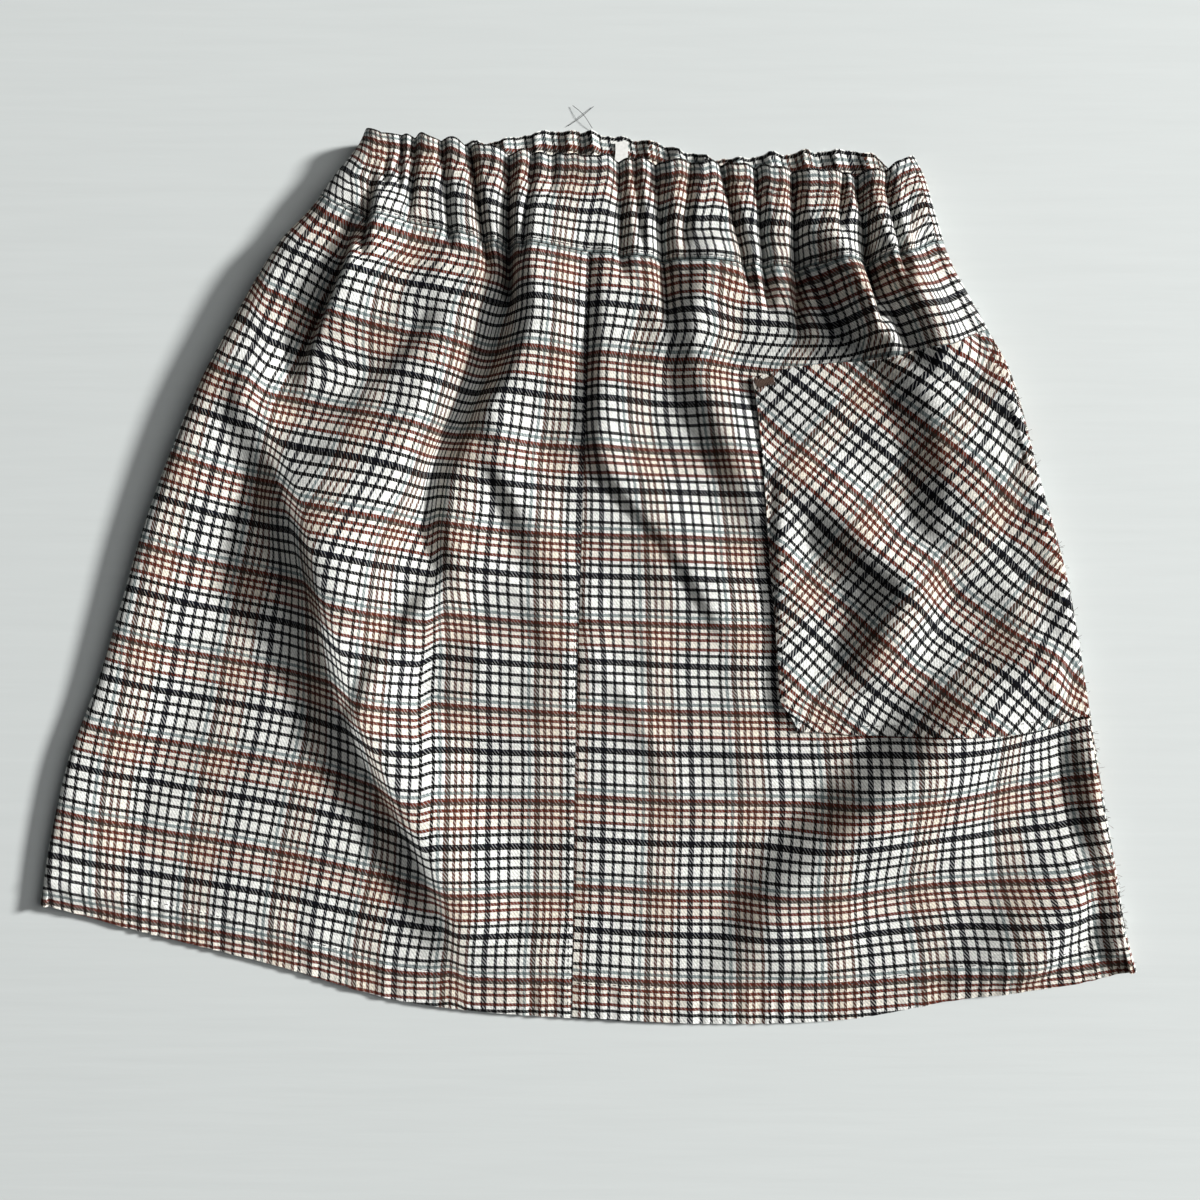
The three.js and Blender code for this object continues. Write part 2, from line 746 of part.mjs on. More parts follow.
const rightPanel = seamed(rightFront, PANEL);
const leftColumns = [...leftRoll, ...leftFlat.slice(1)];
const rightColumns = [...rightFlat, ...rightRoll.slice(1)];
const bandColumns = [...leftRoll, ...bandFlat.slice(1), ...rightRoll.slice(1)];
const labelColumns = steps(LABEL.from, LABEL.to, 2);
const labelRows = steps(LABEL.top, LABEL.bottom, 3);
const labelUnder = WALL + SEAM_GAP;

const geometries = {
  front_left: wall(seamed(leftFront, PANEL), leftColumns, PANEL_ROWS),
  front_right: wall(rightPanel, rightColumns, PANEL_ROWS),
  back: wall(seamed(back, PANEL), backColumns, PANEL_ROWS),
  waistband_front: wall(seamed(frontBand, BAND), bandColumns, BAND_ROWS),
  waistband_back: wall(seamed(backBand, BAND), backBandColumns, BAND_ROWS),
  // It lies on the right front's own triangles.
  pocket: wall(rightPanel, pocketColumns, pocketRows, {
    outer: (a, v) => pocketStandOff(a, v) + WALL,
    inner: pocketStandOff,
    place: pocketPlace,
    points: onTriangles(rightPanel, rightColumns, PANEL_ROWS),
  }),
  // It lies on the inner face of the back's waistband.
  size_label: wall(seamed(backBand, BAND), labelColumns, labelRows, {
    outer: () => -labelUnder,
    inner: () => -labelUnder - WALL,
  }),
};

const CLOTH = { color: 0xcfcdc6, roughness: 0.92, metalness: 0 };
const BIAS_CLOTH = { color: 0xb5b2aa, roughness: 0.92, metalness: 0 };
const RIBBON = { color: 0xf1f0ec, roughness: 0.7, metalness: 0 };
const looks = { pocket: BIAS_CLOTH, size_label: RIBBON };

const group = new THREE.Group();
for (const [name, geometry] of Object.entries(geometries)) {
  const mesh = new THREE.Mesh(geometry, new THREE.MeshStandardMaterial(looks[name] ?? CLOTH));
  mesh.name = name;
  group.add(mesh);
}

export default group;
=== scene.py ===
# %% [markdown]
# # A child's plaid skirt, laid flat
# The skirt lies on its back, with its front up. Two front panels meet in a seam down the middle, a large
# pocket cut on the bias lies on the right one, and a gathered waistband with a frill runs across the top.
# Every piece of cloth here is a thin shell, worked out as a surface with two parameters: one runs across
# the skirt and one runs down it. The same two parameters give each point its place in the weave, so the
# plaid bends with the folds, as woven cloth does.

# %% load the frame
import math
from types import SimpleNamespace

import bpy
import numpy as np
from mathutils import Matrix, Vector


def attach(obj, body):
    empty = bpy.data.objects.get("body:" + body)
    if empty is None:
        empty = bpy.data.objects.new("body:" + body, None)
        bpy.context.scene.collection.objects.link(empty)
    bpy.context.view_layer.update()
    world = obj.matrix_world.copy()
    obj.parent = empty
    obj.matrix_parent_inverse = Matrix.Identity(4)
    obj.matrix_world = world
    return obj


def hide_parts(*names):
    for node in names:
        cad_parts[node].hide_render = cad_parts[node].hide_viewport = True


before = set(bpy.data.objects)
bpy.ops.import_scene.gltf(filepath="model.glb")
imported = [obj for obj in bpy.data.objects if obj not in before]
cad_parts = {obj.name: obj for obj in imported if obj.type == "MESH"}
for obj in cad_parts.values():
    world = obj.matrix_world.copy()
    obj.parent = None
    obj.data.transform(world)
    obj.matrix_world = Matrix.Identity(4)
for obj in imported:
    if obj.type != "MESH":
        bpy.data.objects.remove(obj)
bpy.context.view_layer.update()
print("solids:", sorted(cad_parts))

# %% [markdown]
# ## Sizes
# All tables here are in millimetres, because a tailor measures so, and they become metres when a mesh is
# made. The first values say how thick the cloth is and how high the front stands: at the waist the elastic
# draws the cloth into gathers that lift it, and from there it comes down to lie on the back.

# %% driving sizes
MM = 0.001
DROP = 306.0  # waist seam to hem at the middle
WALL = 0.75  # thickness of the cloth
SOLID_WALL = 1.0  # thickness that the back's solid has, which the front rests above
SEAM_GAP = 0.3
WAIST_SEAM_GAP = 0.45
FRONT_REST = 2 * SOLID_WALL + 0.4  # height of the front's outer face where it lies on the back
WAIST_LIFT = 17.2  # and at the waist
SETTLE = 118  # length over which it comes down
SETTLE_SHAPE = 2.2
SIDE_FALL_LEFT = 34  # width over which the side folds come down to the front
SIDE_FALL_RIGHT = 16
SIDE_CALM = 14  # folds fade out this close to the side folds
LEVEL_BLEND = 0.6
BACK_HEM_SHORT = 1.5  # the back's hem ends this far inside the front's
HEM_CORNER = 30
BAND_HEIGHT = 39
CHANNEL_HEIGHT = 28  # the elastic's channel ends here, and the frill begins
DEEPEST_GATHER = 8.2
DEEPEST_BACK_GATHER = 3.0
GATHER_FADE = 15
CENTRE_X = 0.1  # middle of the outline, which lies at the frame's origin
CENTRE_Y = -1.22


def table(columns, *lines):
    """Rows of numbers with named columns: each name gives its column as an array."""
    return {name: np.array([line[i] for line in lines], float) for i, name in enumerate(columns.split())}


# %% [markdown]
# The outline is known at a few heights on each side, and each side is a roll of cloth with its own radius.
# Lines that cross the skirt, such as the waist seam and the hem, are known at a few places too.

# %% the sides and the lines across
LEFT_SIDE = table(
    "x y radius",
    [-89.5, 178.0, 8.5], [-92.9, 170.9, 8.6], [-101.6, 159.9, 8.8], [-111.6, 146.3, 9.0],
    [-124.1, 133.0, 9.0], [-140.9, 105.5, 8.5], [-158.4, 72.9, 7.7], [-177.4, 25.7, 6.5],
    [-188.5, -10.7, 5.9], [-198.8, -43.9, 5.3], [-210.0, -72.8, 4.8], [-217.9, -105.4, 4.3],
    [-222.6, -134.0, 3.9],
)
RIGHT_SIDE = table(
    "x y radius",
    [131.2, 167.6, 7.4], [135.5, 159.1, 7.4], [139.8, 144.6, 7.3], [146.2, 125.9, 7.0], [160.3, 100.4, 6.6],
    [171.1, 80.0, 6.2], [183.3, 36.7, 5.6], [194.0, -1.8, 5.1], [202.7, -52.1, 4.6], [208.4, -87.0, 4.2],
    [214.3, -119.6, 3.8], [218.5, -145.0, 3.6], [222.8, -161.0, 3.4],
)
WRAP = table("y width", [168, 4.0], [126, 4.0], [80, 3.6], [0, 2.2], [-161, 1.6])
LEFT_ENDS = {"top": 178.0, "waist": 151.5, "hem": -134.0}
RIGHT_ENDS = {"top": 167.6, "waist": 133.9, "hem": -161.0}

WAIST_SEAM = table(
    "x y",
    [-87.7, 141.0], [-66.8, 137.9], [-25.1, 129.6], [20.6, 125.9], [60.3, 122.9], [84.2, 121.9],
    [124.2, 125.5],
)
FRILL_TOP = table(
    "x y", [-62.6, 173.3], [-27.0, 167.4], [24.5, 164.2], [64.1, 162.0], [99.7, 159.5], [116.0, 160.3]
)
HEM = table(
    "x y",
    [-194.4, -142.5], [-127.1, -159.6], [-82.6, -172.6], [-48.3, -177.9], [-6.7, -180.9], [45.5, -183.2],
    [103.8, -181.6], [150.7, -173.5], [197.6, -167.3],
)
BACK_WAIST_SEAM = table("x y", [-66, 146.0], [-20, 139.5], [30, 137.0], [84, 133.0], [124, 132.5])
BACK_FRILL_TOP = table(
    "x y", [-40.0, 176.4], [-14.4, 180.8], [21.0, 177.2], [53.5, 169.4], [76.0, 171.5], [114.5, 172.0]
)
CENTRE_SEAM = table("y x", [128.4, 0.7], [46.6, -1.8], [-62.0, -5.1], [-180.9, -6.7])

# %% [markdown]
# ## Gathers and folds
# A gather is a valley between two ridges. It starts at the frill, crosses the waistband a little aslant, and
# dies out above or below the waist seam. A fold is a long soft ridge or valley in a panel, and its line is
# known at a few points with its height there. One side of it is often steeper than the other.

# %% gathers
GATHERS = table(
    "top seam depth half reach",
    [-86, -87.5, 7.0, 5.2, 24], [-80, -81.5, 3.4, 3.0, -8], [-74, -75.5, 4.0, 3.2, -6],
    [-69, -71.0, 4.4, 3.4, 4], [-59, -55.0, 4.2, 4.0, 12], [-48, -41.5, 6.0, 4.2, 18],
    [-32, -32.0, 7.4, 4.8, 28], [-22, -25.5, 3.6, 3.4, 12], [-14, -15.0, 2.2, 3.6, -16],
    [12, 13.5, 4.4, 5.2, 14], [18, 22.0, 2.6, 3.8, 4], [27, 30.0, 6.2, 6.0, 30], [41, 37.5, 3.2, 4.2, 0],
    [53, 62.5, 4.6, 4.0, 16], [67, 70.5, 5.2, 4.0, 22], [82, 83.5, 7.2, 5.0, 32],
    [102, 99.0, 3.6, 3.6, -4], [107, 112.0, 7.2, 5.0, 36], [118.5, 123.0, 5.0, 4.0, 16],
    [127, 130.0, 3.6, 3.4, 4],
)
BACK_GATHERS = table(
    "top seam depth half reach",
    [-70, -72, 2.6, 4.8, 1], [-59, -58, 3.2, 5.2, 1], [-47, -44, 2.3, 4.6, -1], [-34, -33, 3.1, 5.2, 1],
    [-21, -22, 2.8, 4.8, 0], [-8, -9, 2.3, 4.4, -1], [1, 3, 2.6, 4.4, 0], [25, 22, 3.2, 5.2, 1],
    [36, 37, 2.5, 4.6, -1], [47, 50, 3.0, 5.0, 0], [61, 62, 2.5, 4.6, -1], [74, 76, 3.2, 5.2, 1],
    [88, 90, 2.5, 4.6, 0], [101, 104, 3.0, 5.0, 1], [113, 117, 2.3, 4.6, -1],
)

# %% folds
# Each fold: its width on the left, its width on the right, and its line with the height of its crest.
FOLDS = {
    "side drape, upper half": (19, 60, table(
        "x y rise", [-138, 92, 0], [-131, 66, 9.5], [-120, 31, 9.5], [-109, 4, 6.5], [-104, -22, 0])),
    "side drape, lower half": (24, 34, table(
        "x y rise", [-127, 46, 0], [-117, 28, 3], [-105, 1, 9], [-102, -27, 11.5],
        [-94, -57, 12.5], [-74, -93, 11.5], [-58, -128, 9], [-50, -165, 0])),
    "ridge from the left gathers": (50, 19, table(
        "x y rise", [-46, 140, 0], [-51, 118, 3], [-61, 88, 11], [-70, 62, 16.5], [-79, 36, 16.5],
        [-89, 10, 12], [-95, -20, 5], [-98, -45, 0])),
    "ridge beside the left valley": (10, 22, table(
        "x y rise", [-82, 156, 0], [-88, 134, 12], [-97, 111, 14], [-107, 89, 11], [-116, 64, 0])),
    "ridge left of the centre seam": (12, 26, table(
        "x y rise", [-24, 156, 0], [-22, 126, 9], [-21, 104, 12], [-28, 81, 12.5], [-43, 58, 8.5],
        [-54, 34, 7.5], [-55, 8, 5.5], [-48, -19, 0])),
    "ridge along the centre seam": (7, 24, table(
        "x y rise", [7, 136, 0], [6, 100, 5], [5, 70, 6], [6, 48, 5.2], [16, 33, 3.8], [33, 14, 3.4],
        [48, -9, 3], [60, -32, 0])),
    "ridge left of the pocket": (13, 18, table(
        "x y rise", [52, 142, 0], [48, 121, 4], [43, 100, 7.5], [44, 82, 5], [50, 68, 5.5], [58, 50, 5.5],
        [68, 28, 3], [75, 14, 0])),
    "ridge above the pocket": (16, 10, table(
        "x y rise", [95, 146, 0], [100, 126, 9], [107, 110, 13.5], [116, 94, 15], [120, 86, 4], [122, 79, 0])),
    "bulge at the right side": (10, 42, table(
        "x y rise", [112, 148, 0], [121, 124, 9.5], [129, 108, 13], [137, 93, 13], [140, 84, 5], [142, 77, 0])),
    "bulge in the pocket": (18, 40, table(
        "x y rise", [130, 94, 0], [135, 80, 7], [140, 64, 7.5], [144, 48, 7.5], [146, 30, 6.5], [140, 6, 4],
        [131, -15, 0])),
    "fold along the pocket's side": (5, 15, table(
        "x y rise", [78, 48, 0], [78.5, 30, 2.6], [78.5, 0, 2.8], [78.5, -31, 2.4], [80, -56, 2.4],
        [81, -66, 0])),
    "sweep below the pocket": (24, 48, table(
        "x y rise", [204, -24, 0], [184, -38, 8], [163, -50, 13], [149, -62, 16], [134, -77, 17.5],
        [117, -94, 17.5], [103, -108, 15], [89, -121, 12], [78, -136, 9], [71, -152, 6], [65, -168, 0])),
    "swell under the pocket": (18, 22, table(
        "x y rise", [84, 52, 0], [95, 33, 6], [113, 12, 9.5], [127, -7, 11.5], [120, -27, 10.5], [112, -49, 0])),
    "bulge along the right edge": (40, 24, table(
        "x y rise", [150, 92, 0], [158, 60, 2.5], [166, 30, 4], [172, 0, 5], [180, -30, 4], [186, -52, 0])),
    "low ridge at the left of the middle": (10, 20, table(
        "x y rise", [-56, 4, 0], [-66, -13, 7], [-81, -36, 7], [-93, -68, 0])),
    "low ridge in the middle": (12, 18, table(
        "x y rise", [-40, 76, 0], [-33, 50, 5], [-27, 28, 5], [-19, 8, 3], [-12, -27, 1.5], [-5, -60, 0])),
    "ridge at the right hem": (36, 18, table(
        "x y rise", [203, -100, 0], [199, -122, 5], [190, -140, 9], [180, -156, 8], [170, -172, 4])),
    "left valley": (9, 8, table(
        "x y rise", [-86, 148, 0], [-92, 136, -5], [-101, 118, -8], [-112, 98, -7], [-120, 78, 0])),
    "valley left of the centre seam": (10, 8, table(
        "x y rise", [-32, 136, 0], [-33, 117, -4], [-40, 94, -5], [-50, 70, -4], [-62, 46, -4], [-64, 22, -3],
        [-59, -6, 0])),
    "hollow above the pocket": (14, 10, table(
        "x y rise", [86, 132, 0], [90, 122, -3], [96, 109, -6], [103, 96, -7], [107, 86, 0])),
}
print(len(GATHERS["top"]), "gathers in front,", len(BACK_GATHERS["top"]), "behind, and", len(FOLDS), "folds")


# %% [markdown]
# ## From tables to curves
# A curve through the rows of a table has to be smooth, or the folds would have corners. A cubic piece between
# each two rows does it: it takes the rows' values and, at each row, the slope between its two neighbours.

# %% smooth steps and smooth curves
def smooth(t):
    """0 up to 0, 1 from 1 on, and between them three squares less two cubes."""
    t = np.clip(t, 0, 1)
    return t * t * (3 - 2 * t)


def mix(a, b, t):
    """a at t 0 and b at t 1, in a straight line."""
    return a + (b - a) * t


def soft_max(a, b, blend):
    """The larger of two heights, rounded off where they meet: half of their sum plus the long side of a
    right triangle on their difference and the blend."""
    return 0.5 * (a + b + np.hypot(a - b, blend))


def curve(lines, key, value):
    """A smooth curve through a table's rows, the value column over the key column. Between two rows it is
    the cubic with their values and slopes, and past the ends it runs on straight."""
    order = np.argsort(lines[key])
    x, y = lines[key][order], lines[value][order]
    slope = np.concatenate([
        [(y[1] - y[0]) / (x[1] - x[0])],
        (y[2:] - y[:-2]) / (x[2:] - x[:-2]),
        [(y[-1] - y[-2]) / (x[-1] - x[-2])],
    ])

    def at(place):
        place = np.asarray(place, float)
        i = np.clip(np.searchsorted(x, place, side="right") - 1, 0, len(x) - 2)
        span = x[i + 1] - x[i]
        t = np.clip((place - x[i]) / span, 0, 1)
        values = y[i] * (1 + 2 * t) * (1 - t) ** 2 + y[i + 1] * t * t * (3 - 2 * t)
        bends = span * (slope[i] * t * (1 - t) ** 2 - slope[i + 1] * t * t * (1 - t))
        past = slope[0] * np.minimum(place - x[0], 0) + slope[-1] * np.maximum(place - x[-1], 0)
        return values + bends + past

    return at


# %% the two sides as rolls of cloth
def make_side(lines, inward):
    """A side of the skirt. inside(y, d) is the point of the outline at y, moved d inwards at right angles.
    roll(y, angle) is a point of the roll: from its centre, one radius out at that angle, where a quarter turn
    is on top, 0 on the outline and minus a quarter turn underneath."""
    x, radius = curve(lines, "y", "x"), curve(lines, "y", "radius")

    def inside(y, distance):
        """The outline's point at y, moved inwards at right angles to the outline."""
        run = x(y + 0.5) - x(y - 0.5)
        length = np.hypot(run, 1)
        return x(y) + inward * distance / length, y - inward * distance * run / length

    def roll(y, angle):
        """A point on the surface of the roll, at an angle in radians round its centre."""
        px, py = inside(y, radius(y) * (1 - np.cos(angle)))
        return np.stack([px, py, radius(y) * (1 + np.sin(angle))], -1)

    return SimpleNamespace(radius=radius, inside=inside, roll=roll, top=lambda y: inside(y, radius(y)))


left = make_side(LEFT_SIDE, 1)
right = make_side(RIGHT_SIDE, -1)
wrap_width = curve(WRAP, "y", "width")


def wrap_angle(y, end):
    """The angle at which the back (end -1) and the front (end 1) meet on the right roll, half a gap apart."""
    return np.arccos(1 - wrap_width(y) / right.radius(y)) + end * SEAM_GAP / 2 / right.radius(y)


def across_line(inner, end):
    """A line across the skirt: the curve through its inner points and the tops of the two rolls."""
    (lx, ly), (rx, ry) = left.top(LEFT_ENDS[end]), right.top(RIGHT_ENDS[end])
    whole = {"x": np.r_[lx, inner["x"], rx], "y": np.r_[ly, inner["y"], ry]}
    return curve(whole, "x", "y")


waist_seam = across_line(WAIST_SEAM, "waist")
frill_top = across_line(FRILL_TOP, "top")
hem_line = across_line(HEM, "hem")
back_waist_seam = across_line(BACK_WAIST_SEAM, "waist")
back_frill_top = across_line(BACK_FRILL_TOP, "top")
centre_seam = curve(CENTRE_SEAM, "y", "x")


# %% [markdown]
# The frill above the elastic is a doubled edge of cloth that nothing holds. It stands up between the gathers
# and sinks in them, so its edge swings up and down by about a millimetre.

# %% the frill's edge
def frilled(line, seed):
    """A line with an uneven edge: a short wave, and a shorter one that swells and fades with a long one."""
    shifts = np.random.default_rng(seed).uniform(0, 2 * np.pi, 3)

    def at(x):
        fine = np.sin(x / 1.3 + shifts[1]) * np.sin(x / 6.1 + shifts[2])
        wave = 0.5 * np.sin(x / 2.4 + shifts[0]) + 0.7 * fine
        return line(x) + 0.7 * wave

    return at


frill_edge, back_frill_edge = frilled(frill_top, 5), frilled(back_frill_top, 8)
waist_width = float(right.top(RIGHT_ENDS["waist"])[0] - left.top(LEFT_ENDS["waist"])[0])
print("waist seam is", round(waist_width), "mm across, laid flat")


# %% heights of gathers and folds
GATHER_SHARPNESS, GATHER_STRENGTH = 1.6, 1.25


def gather_depth(gathers, deepest, x, up):
    """Each gather is a crease, sharp at its bottom and soft at its rims, and it fades in with height over the
    waist seam: one less the distance from its line in half widths, to the power of 1.6. What it leaves of the
    full depth is multiplied with what the others leave, so no overlap gets deeper than the deepest."""
    stays = np.ones(np.broadcast(x, up).shape)
    for top, seam, depth, half, reach in zip(*(gathers[k] for k in ("top", "seam", "depth", "half", "reach"))):
        off = np.abs(x - mix(seam, top, up / BAND_HEIGHT)) / half
        across = np.clip(1 - off, 0, 1) ** GATHER_SHARPNESS
        share = min(1, GATHER_STRENGTH * depth / deepest)
        stays = stays * (1 - share * across * smooth((up + reach) / GATHER_FADE))
    return deepest * (1 - stays)


def fold_height(x, y):
    """The sum of all folds. Each is its crest's height at y, times one less a smooth step over its width,
    with the distance to the crest's line measured at right angles to it."""
    height = np.zeros(np.broadcast(x, y).shape)
    for wide_left, wide_right, line in FOLDS.values():
        crest, rise = curve(line, "y", "x"), curve(line, "y", "rise")
        lean = (crest(y + 1) - crest(y - 1)) / 2
        off = (x - crest(y)) / np.hypot(1, lean)
        profile = 1 - smooth(np.abs(off) / np.where(off < 0, wide_left, wide_right))
        within = (y <= line["y"].max()) & (y >= line["y"].min())
        height = height + np.where(within, rise(y), 0) * profile
    return height


# %% [markdown]
# ## The front's height
# The front comes down from the gathered waist to the back, and at each side it rises again to the roll of
# cloth there. Gathers and folds are added to this, and they die out close to the rolls. Small things come
# last: each row of stitching pulls the cloth down along a narrow line, and the hem, which is turned up, lies
# a little higher. Its stitches draw it into short waves, and its edge bends down towards the back.

# %% small creases
# x y of the middle, direction in degrees, half length, half width, height (a trough is negative)
CREASES = table(
    "x y turn length width rise",
    [-20, -60, 70, 40, 9, 0.7], [-60, -120, 60, 32, 8, 0.8], [30, -110, 20, 46, 10, 0.6],
    [60, -40, 100, 34, 8, 0.7], [-150, -60, 75, 36, 9, 0.7], [-180, -110, 60, 24, 7, 0.6],
    [150, -30, 95, 30, 8, 0.6], [120, 40, 70, 26, 7, 0.6], [190, -110, 60, 30, 8, 0.6],
    # pulls below the waist on the left, which run down and to the left from the band
    [-72, 106, 28, 18, 4, 1.3], [-66, 92, 24, 24, 5, 1.2], [-80, 76, 35, 18, 5, 1.5],
    [-54, 128, 60, 10, 3, 1.2], [-100, 56, 20, 22, 6, 1.1], [-112, 36, 35, 22, 6, 1.2],
    [-74, 92, 49, 22, 6, -3.0], [28, 90, 76, 20, 6, 2.6],
    # creases beside the middle, which run down and to the right
    [-36, 40, 125, 16, 4, 1.6], [-24, -12, 122, 18, 5, 1.4], [-46, -28, 105, 16, 5, 1.3],
    [-24, -44, 140, 16, 6, 1.0], [16, -50, 128, 22, 5, 1.5], [30, -76, 120, 20, 6, 1.3],
    [28, 6, 118, 20, 5, 0.9], [26, -32, 100, 16, 5, 0.9], [4, -28, 95, 24, 5, 1.0],
    [52, -70, 160, 26, 7, 1.0], [76, 8, 100, 20, 5, 0.9], [-8, 70, 92, 30, 5, 0.9],
    # on the pocket
    [96, 62, 60, 20, 6, 1.2], [160, 30, 80, 26, 8, 1.0], [176, -20, 100, 22, 7, 1.2],
    [150, -48, 25, 26, 7, 1.3], [88, -20, 95, 24, 6, 1.1], [188, -44, 70, 14, 5, 1.3],
    # near the hem
    [-120, -110, 20, 40, 8, 1.0], [-150, -132, 165, 30, 7, 0.9], [-110, -140, 85, 18, 6, 1.1],
    [160, -118, 20, 30, 9, 1.0], [100, -150, 60, 20, 7, 0.9], [-20, -140, 95, 22, 6, 0.8],
)


def crease_height(x, y):
    """The sum of all small creases. Each falls off as a bell across its line and along it."""
    height = np.zeros(np.broadcast(x, y).shape)
    for cx, cy, turn, length, width, rise in zip(*CREASES.values()):
        c, s = math.cos(math.radians(turn)), math.sin(math.radians(turn))
        along, off = (x - cx) * c + (y - cy) * s, (y - cy) * c - (x - cx) * s
        off = off - along * along / (6 * length)  # each crease is slightly curved
        height = height + rise * np.exp(-((off / width) ** 2) - (along / length) ** 4)
    return height


# %% the height of the front
HEM_TURN = 15  # the hem is stitched this far above the edge
HEM_LAYER = 0.45  # how much higher the doubled cloth lies
HEM_PUCKER = 0.55
HEM_DROP = 3.0  # the edge itself bends down towards the back
HEM_BEND = 12  # over this width
LOW_SIDE_FALL = 11  # below the pocket the right side comes down more steeply
LOW_SIDE_FROM, LOW_SIDE_OVER = -50, 30
SLACK_WAVE, SLACK_HEIGHT = 26, 0.22
# Rows of stitches: how deep each pulls the cloth down, and how wide that dip is on either side.
CHANNEL_DIP = (1.1, 2.2)
WAIST_SEAM_DIP = (1.3, 1.6)
CENTRE_SEAM_DIP = (1.0, 1.2)
HEM_STITCH_DIP = (0.35, 1.1)


def slack(x, y, seed, wavelength, height):
    """Cloth is never quite flat: the sum of a few waves in random directions."""
    waves = np.random.default_rng(seed)
    total = np.zeros(np.broadcast(x, y).shape)
    for _ in range(9):
        turn, phase = waves.uniform(0, 2 * np.pi, 2)
        length = wavelength * waves.uniform(0.6, 1.7)
        total = total + np.sin(2 * np.pi * (x * np.cos(turn) + y * np.sin(turn)) / length + phase)
    return height * total / 3


def dip(distance, size):
    """A narrow trough along a row of stitches, as a bell: its depth times e to minus the distance in widths,
    squared."""
    depth, width = size
    return depth * np.exp(-((distance / width) ** 2))


def puckers(x):
    """The stitching draws the doubled hem into short upright waves of uneven width and height."""
    strength = 0.5 + 0.5 * np.sin(x / 17.0) * np.sin(x / 7.3 + 1.0)
    return HEM_PUCKER * strength * np.sin(x / 1.15 + 2.2 * np.sin(x / 9.0) + 1.4 * np.sin(x / 4.1))


def front_height(x, y, row, from_hem, from_centre):
    """The height of the front's outer face above the surface that the skirt lies on: the way down from the
    waist, plus the rise to each side fold, plus folds less gathers and seams, and nowhere below the back."""
    up = y - waist_seam(x)
    base = mix(FRONT_REST, WAIST_LIFT, (1 - smooth(-up / SETTLE)) ** SETTLE_SHAPE)
    from_left = np.hypot(x - row.left_top[0], y - row.left_top[1])
    from_right = np.hypot(x - row.right_top[0], y - row.right_top[1])
    fall_right = mix(SIDE_FALL_RIGHT, LOW_SIDE_FALL, smooth((LOW_SIDE_FROM - y) / LOW_SIDE_OVER))
    free = smooth(np.minimum(from_left, from_right) / SIDE_CALM)
    seams = dip(up - CHANNEL_HEIGHT, CHANNEL_DIP) + dip(up, WAIST_SEAM_DIP)
    seams = seams + dip(from_centre, CENTRE_SEAM_DIP) * (up < 0)
    shape = fold_height(x, y) - gather_depth(GATHERS, DEEPEST_GATHER, x, up) - seams + crease_height(x, y)
    lifted = (
        base
        + (2 * left.radius(row.y_left) - base) * (1 - smooth(from_left / SIDE_FALL_LEFT))
        + (2 * right.radius(row.y_right) - base) * (1 - smooth(from_right / fall_right))
        + shape * free
    )
    in_hem = 1 - smooth((from_hem - HEM_TURN) / 3 + 0.5)
    hem = HEM_LAYER * (1 - smooth((from_hem - HEM_TURN) / 1.2 + 0.5)) + in_hem * puckers(x)
    hem = hem - dip(from_hem - HEM_TURN, HEM_STITCH_DIP)
    drop = HEM_DROP * (1 - smooth(from_hem / HEM_BEND))
    uneven = slack(x, y, 3, SLACK_WAVE, SLACK_HEIGHT)
    return soft_max(lifted - drop + uneven, FRONT_REST, LEVEL_BLEND) + hem


# %% [markdown]
# ## The sheets
# Each sheet is a function of two parameters, a across and v down. A row of the front runs from the top of the
# left roll to the seam and on to the top of the right roll, and the first and the last row follow the waist
# seam and the hem. On the left the front goes on round the roll and ends under it, and on the right it meets
# the back on the roll.

# %% the two fronts and the front of the waistband
def between(start, end, lines, ends, t, v):
    """A point t of the way from start to end, moved in Y so that row 0 and row 1 follow their own lines."""
    x, y = mix(start[0], end[0], t), mix(start[1], end[1], t)
    for line, (first, last), share in zip(lines, ends, (1 - v, v)):
        y = y + share * (line(mix(first[0], last[0], t)) - mix(first[1], last[1], t))
    return x, y


FAR = 99.0  # so far from the hem and the middle seam that neither counts


def heights(start, end, share):
    """Where a row of a sheet meets the two sides, a share of the way between two named ends."""
    return [mix(ends[start], ends[end], share) for ends in (LEFT_ENDS, RIGHT_ENDS)]


def front_row(v, half):
    """The ends of a row of the front: tops of both rolls, and the middle seam half a gap to one side."""
    y_left, y_right = heights("waist", "hem", v)
    y_seam = mix(CENTRE_SEAM["y"][0], CENTRE_SEAM["y"][-1], v)
    seam = (centre_seam(y_seam) + half * SEAM_GAP / 2, y_seam)
    return SimpleNamespace(
        y_left=y_left, y_right=y_right, left_top=left.top(y_left), right_top=right.top(y_right), seam=seam)


def on_front(row, x, y, from_hem, from_centre):
    """Points at the front's height."""
    return np.stack([x, y, front_height(x, y, row, from_hem, from_centre)], -1)


def left_front(a, v):
    """a runs from -1, under the left side, over the roll at 0, to 1 at the middle seam."""
    row, first, last = front_row(v, -1), front_row(0.0, -1), front_row(1.0, -1)
    ends = [(first.left_top, first.seam), (last.left_top, last.seam)]
    x, y = between(row.left_top, row.seam, (waist_seam, hem_line), ends, a, v)
    flat = on_front(row, x, y, (1 - v) * DROP, row.seam[0] - x)
    return np.where((a < 0)[..., None], left.roll(row.y_left, np.pi / 2 + np.pi * a), flat)


def right_front(a, v):
    """a runs from 0 at the middle seam to 1 on top of the right roll, and down that roll to 2."""
    row, first, last = front_row(v, 1), front_row(0.0, 1), front_row(1.0, 1)
    ends = [(first.seam, first.right_top), (last.seam, last.right_top)]
    x, y = between(row.seam, row.right_top, (waist_seam, hem_line), ends, a, v)
    flat = on_front(row, x, y, (1 - v) * DROP, x - row.seam[0])
    turn = mix(np.pi / 2, wrap_angle(row.y_right, 1), a - 1)
    return np.where((a > 1)[..., None], right.roll(row.y_right, turn), flat)


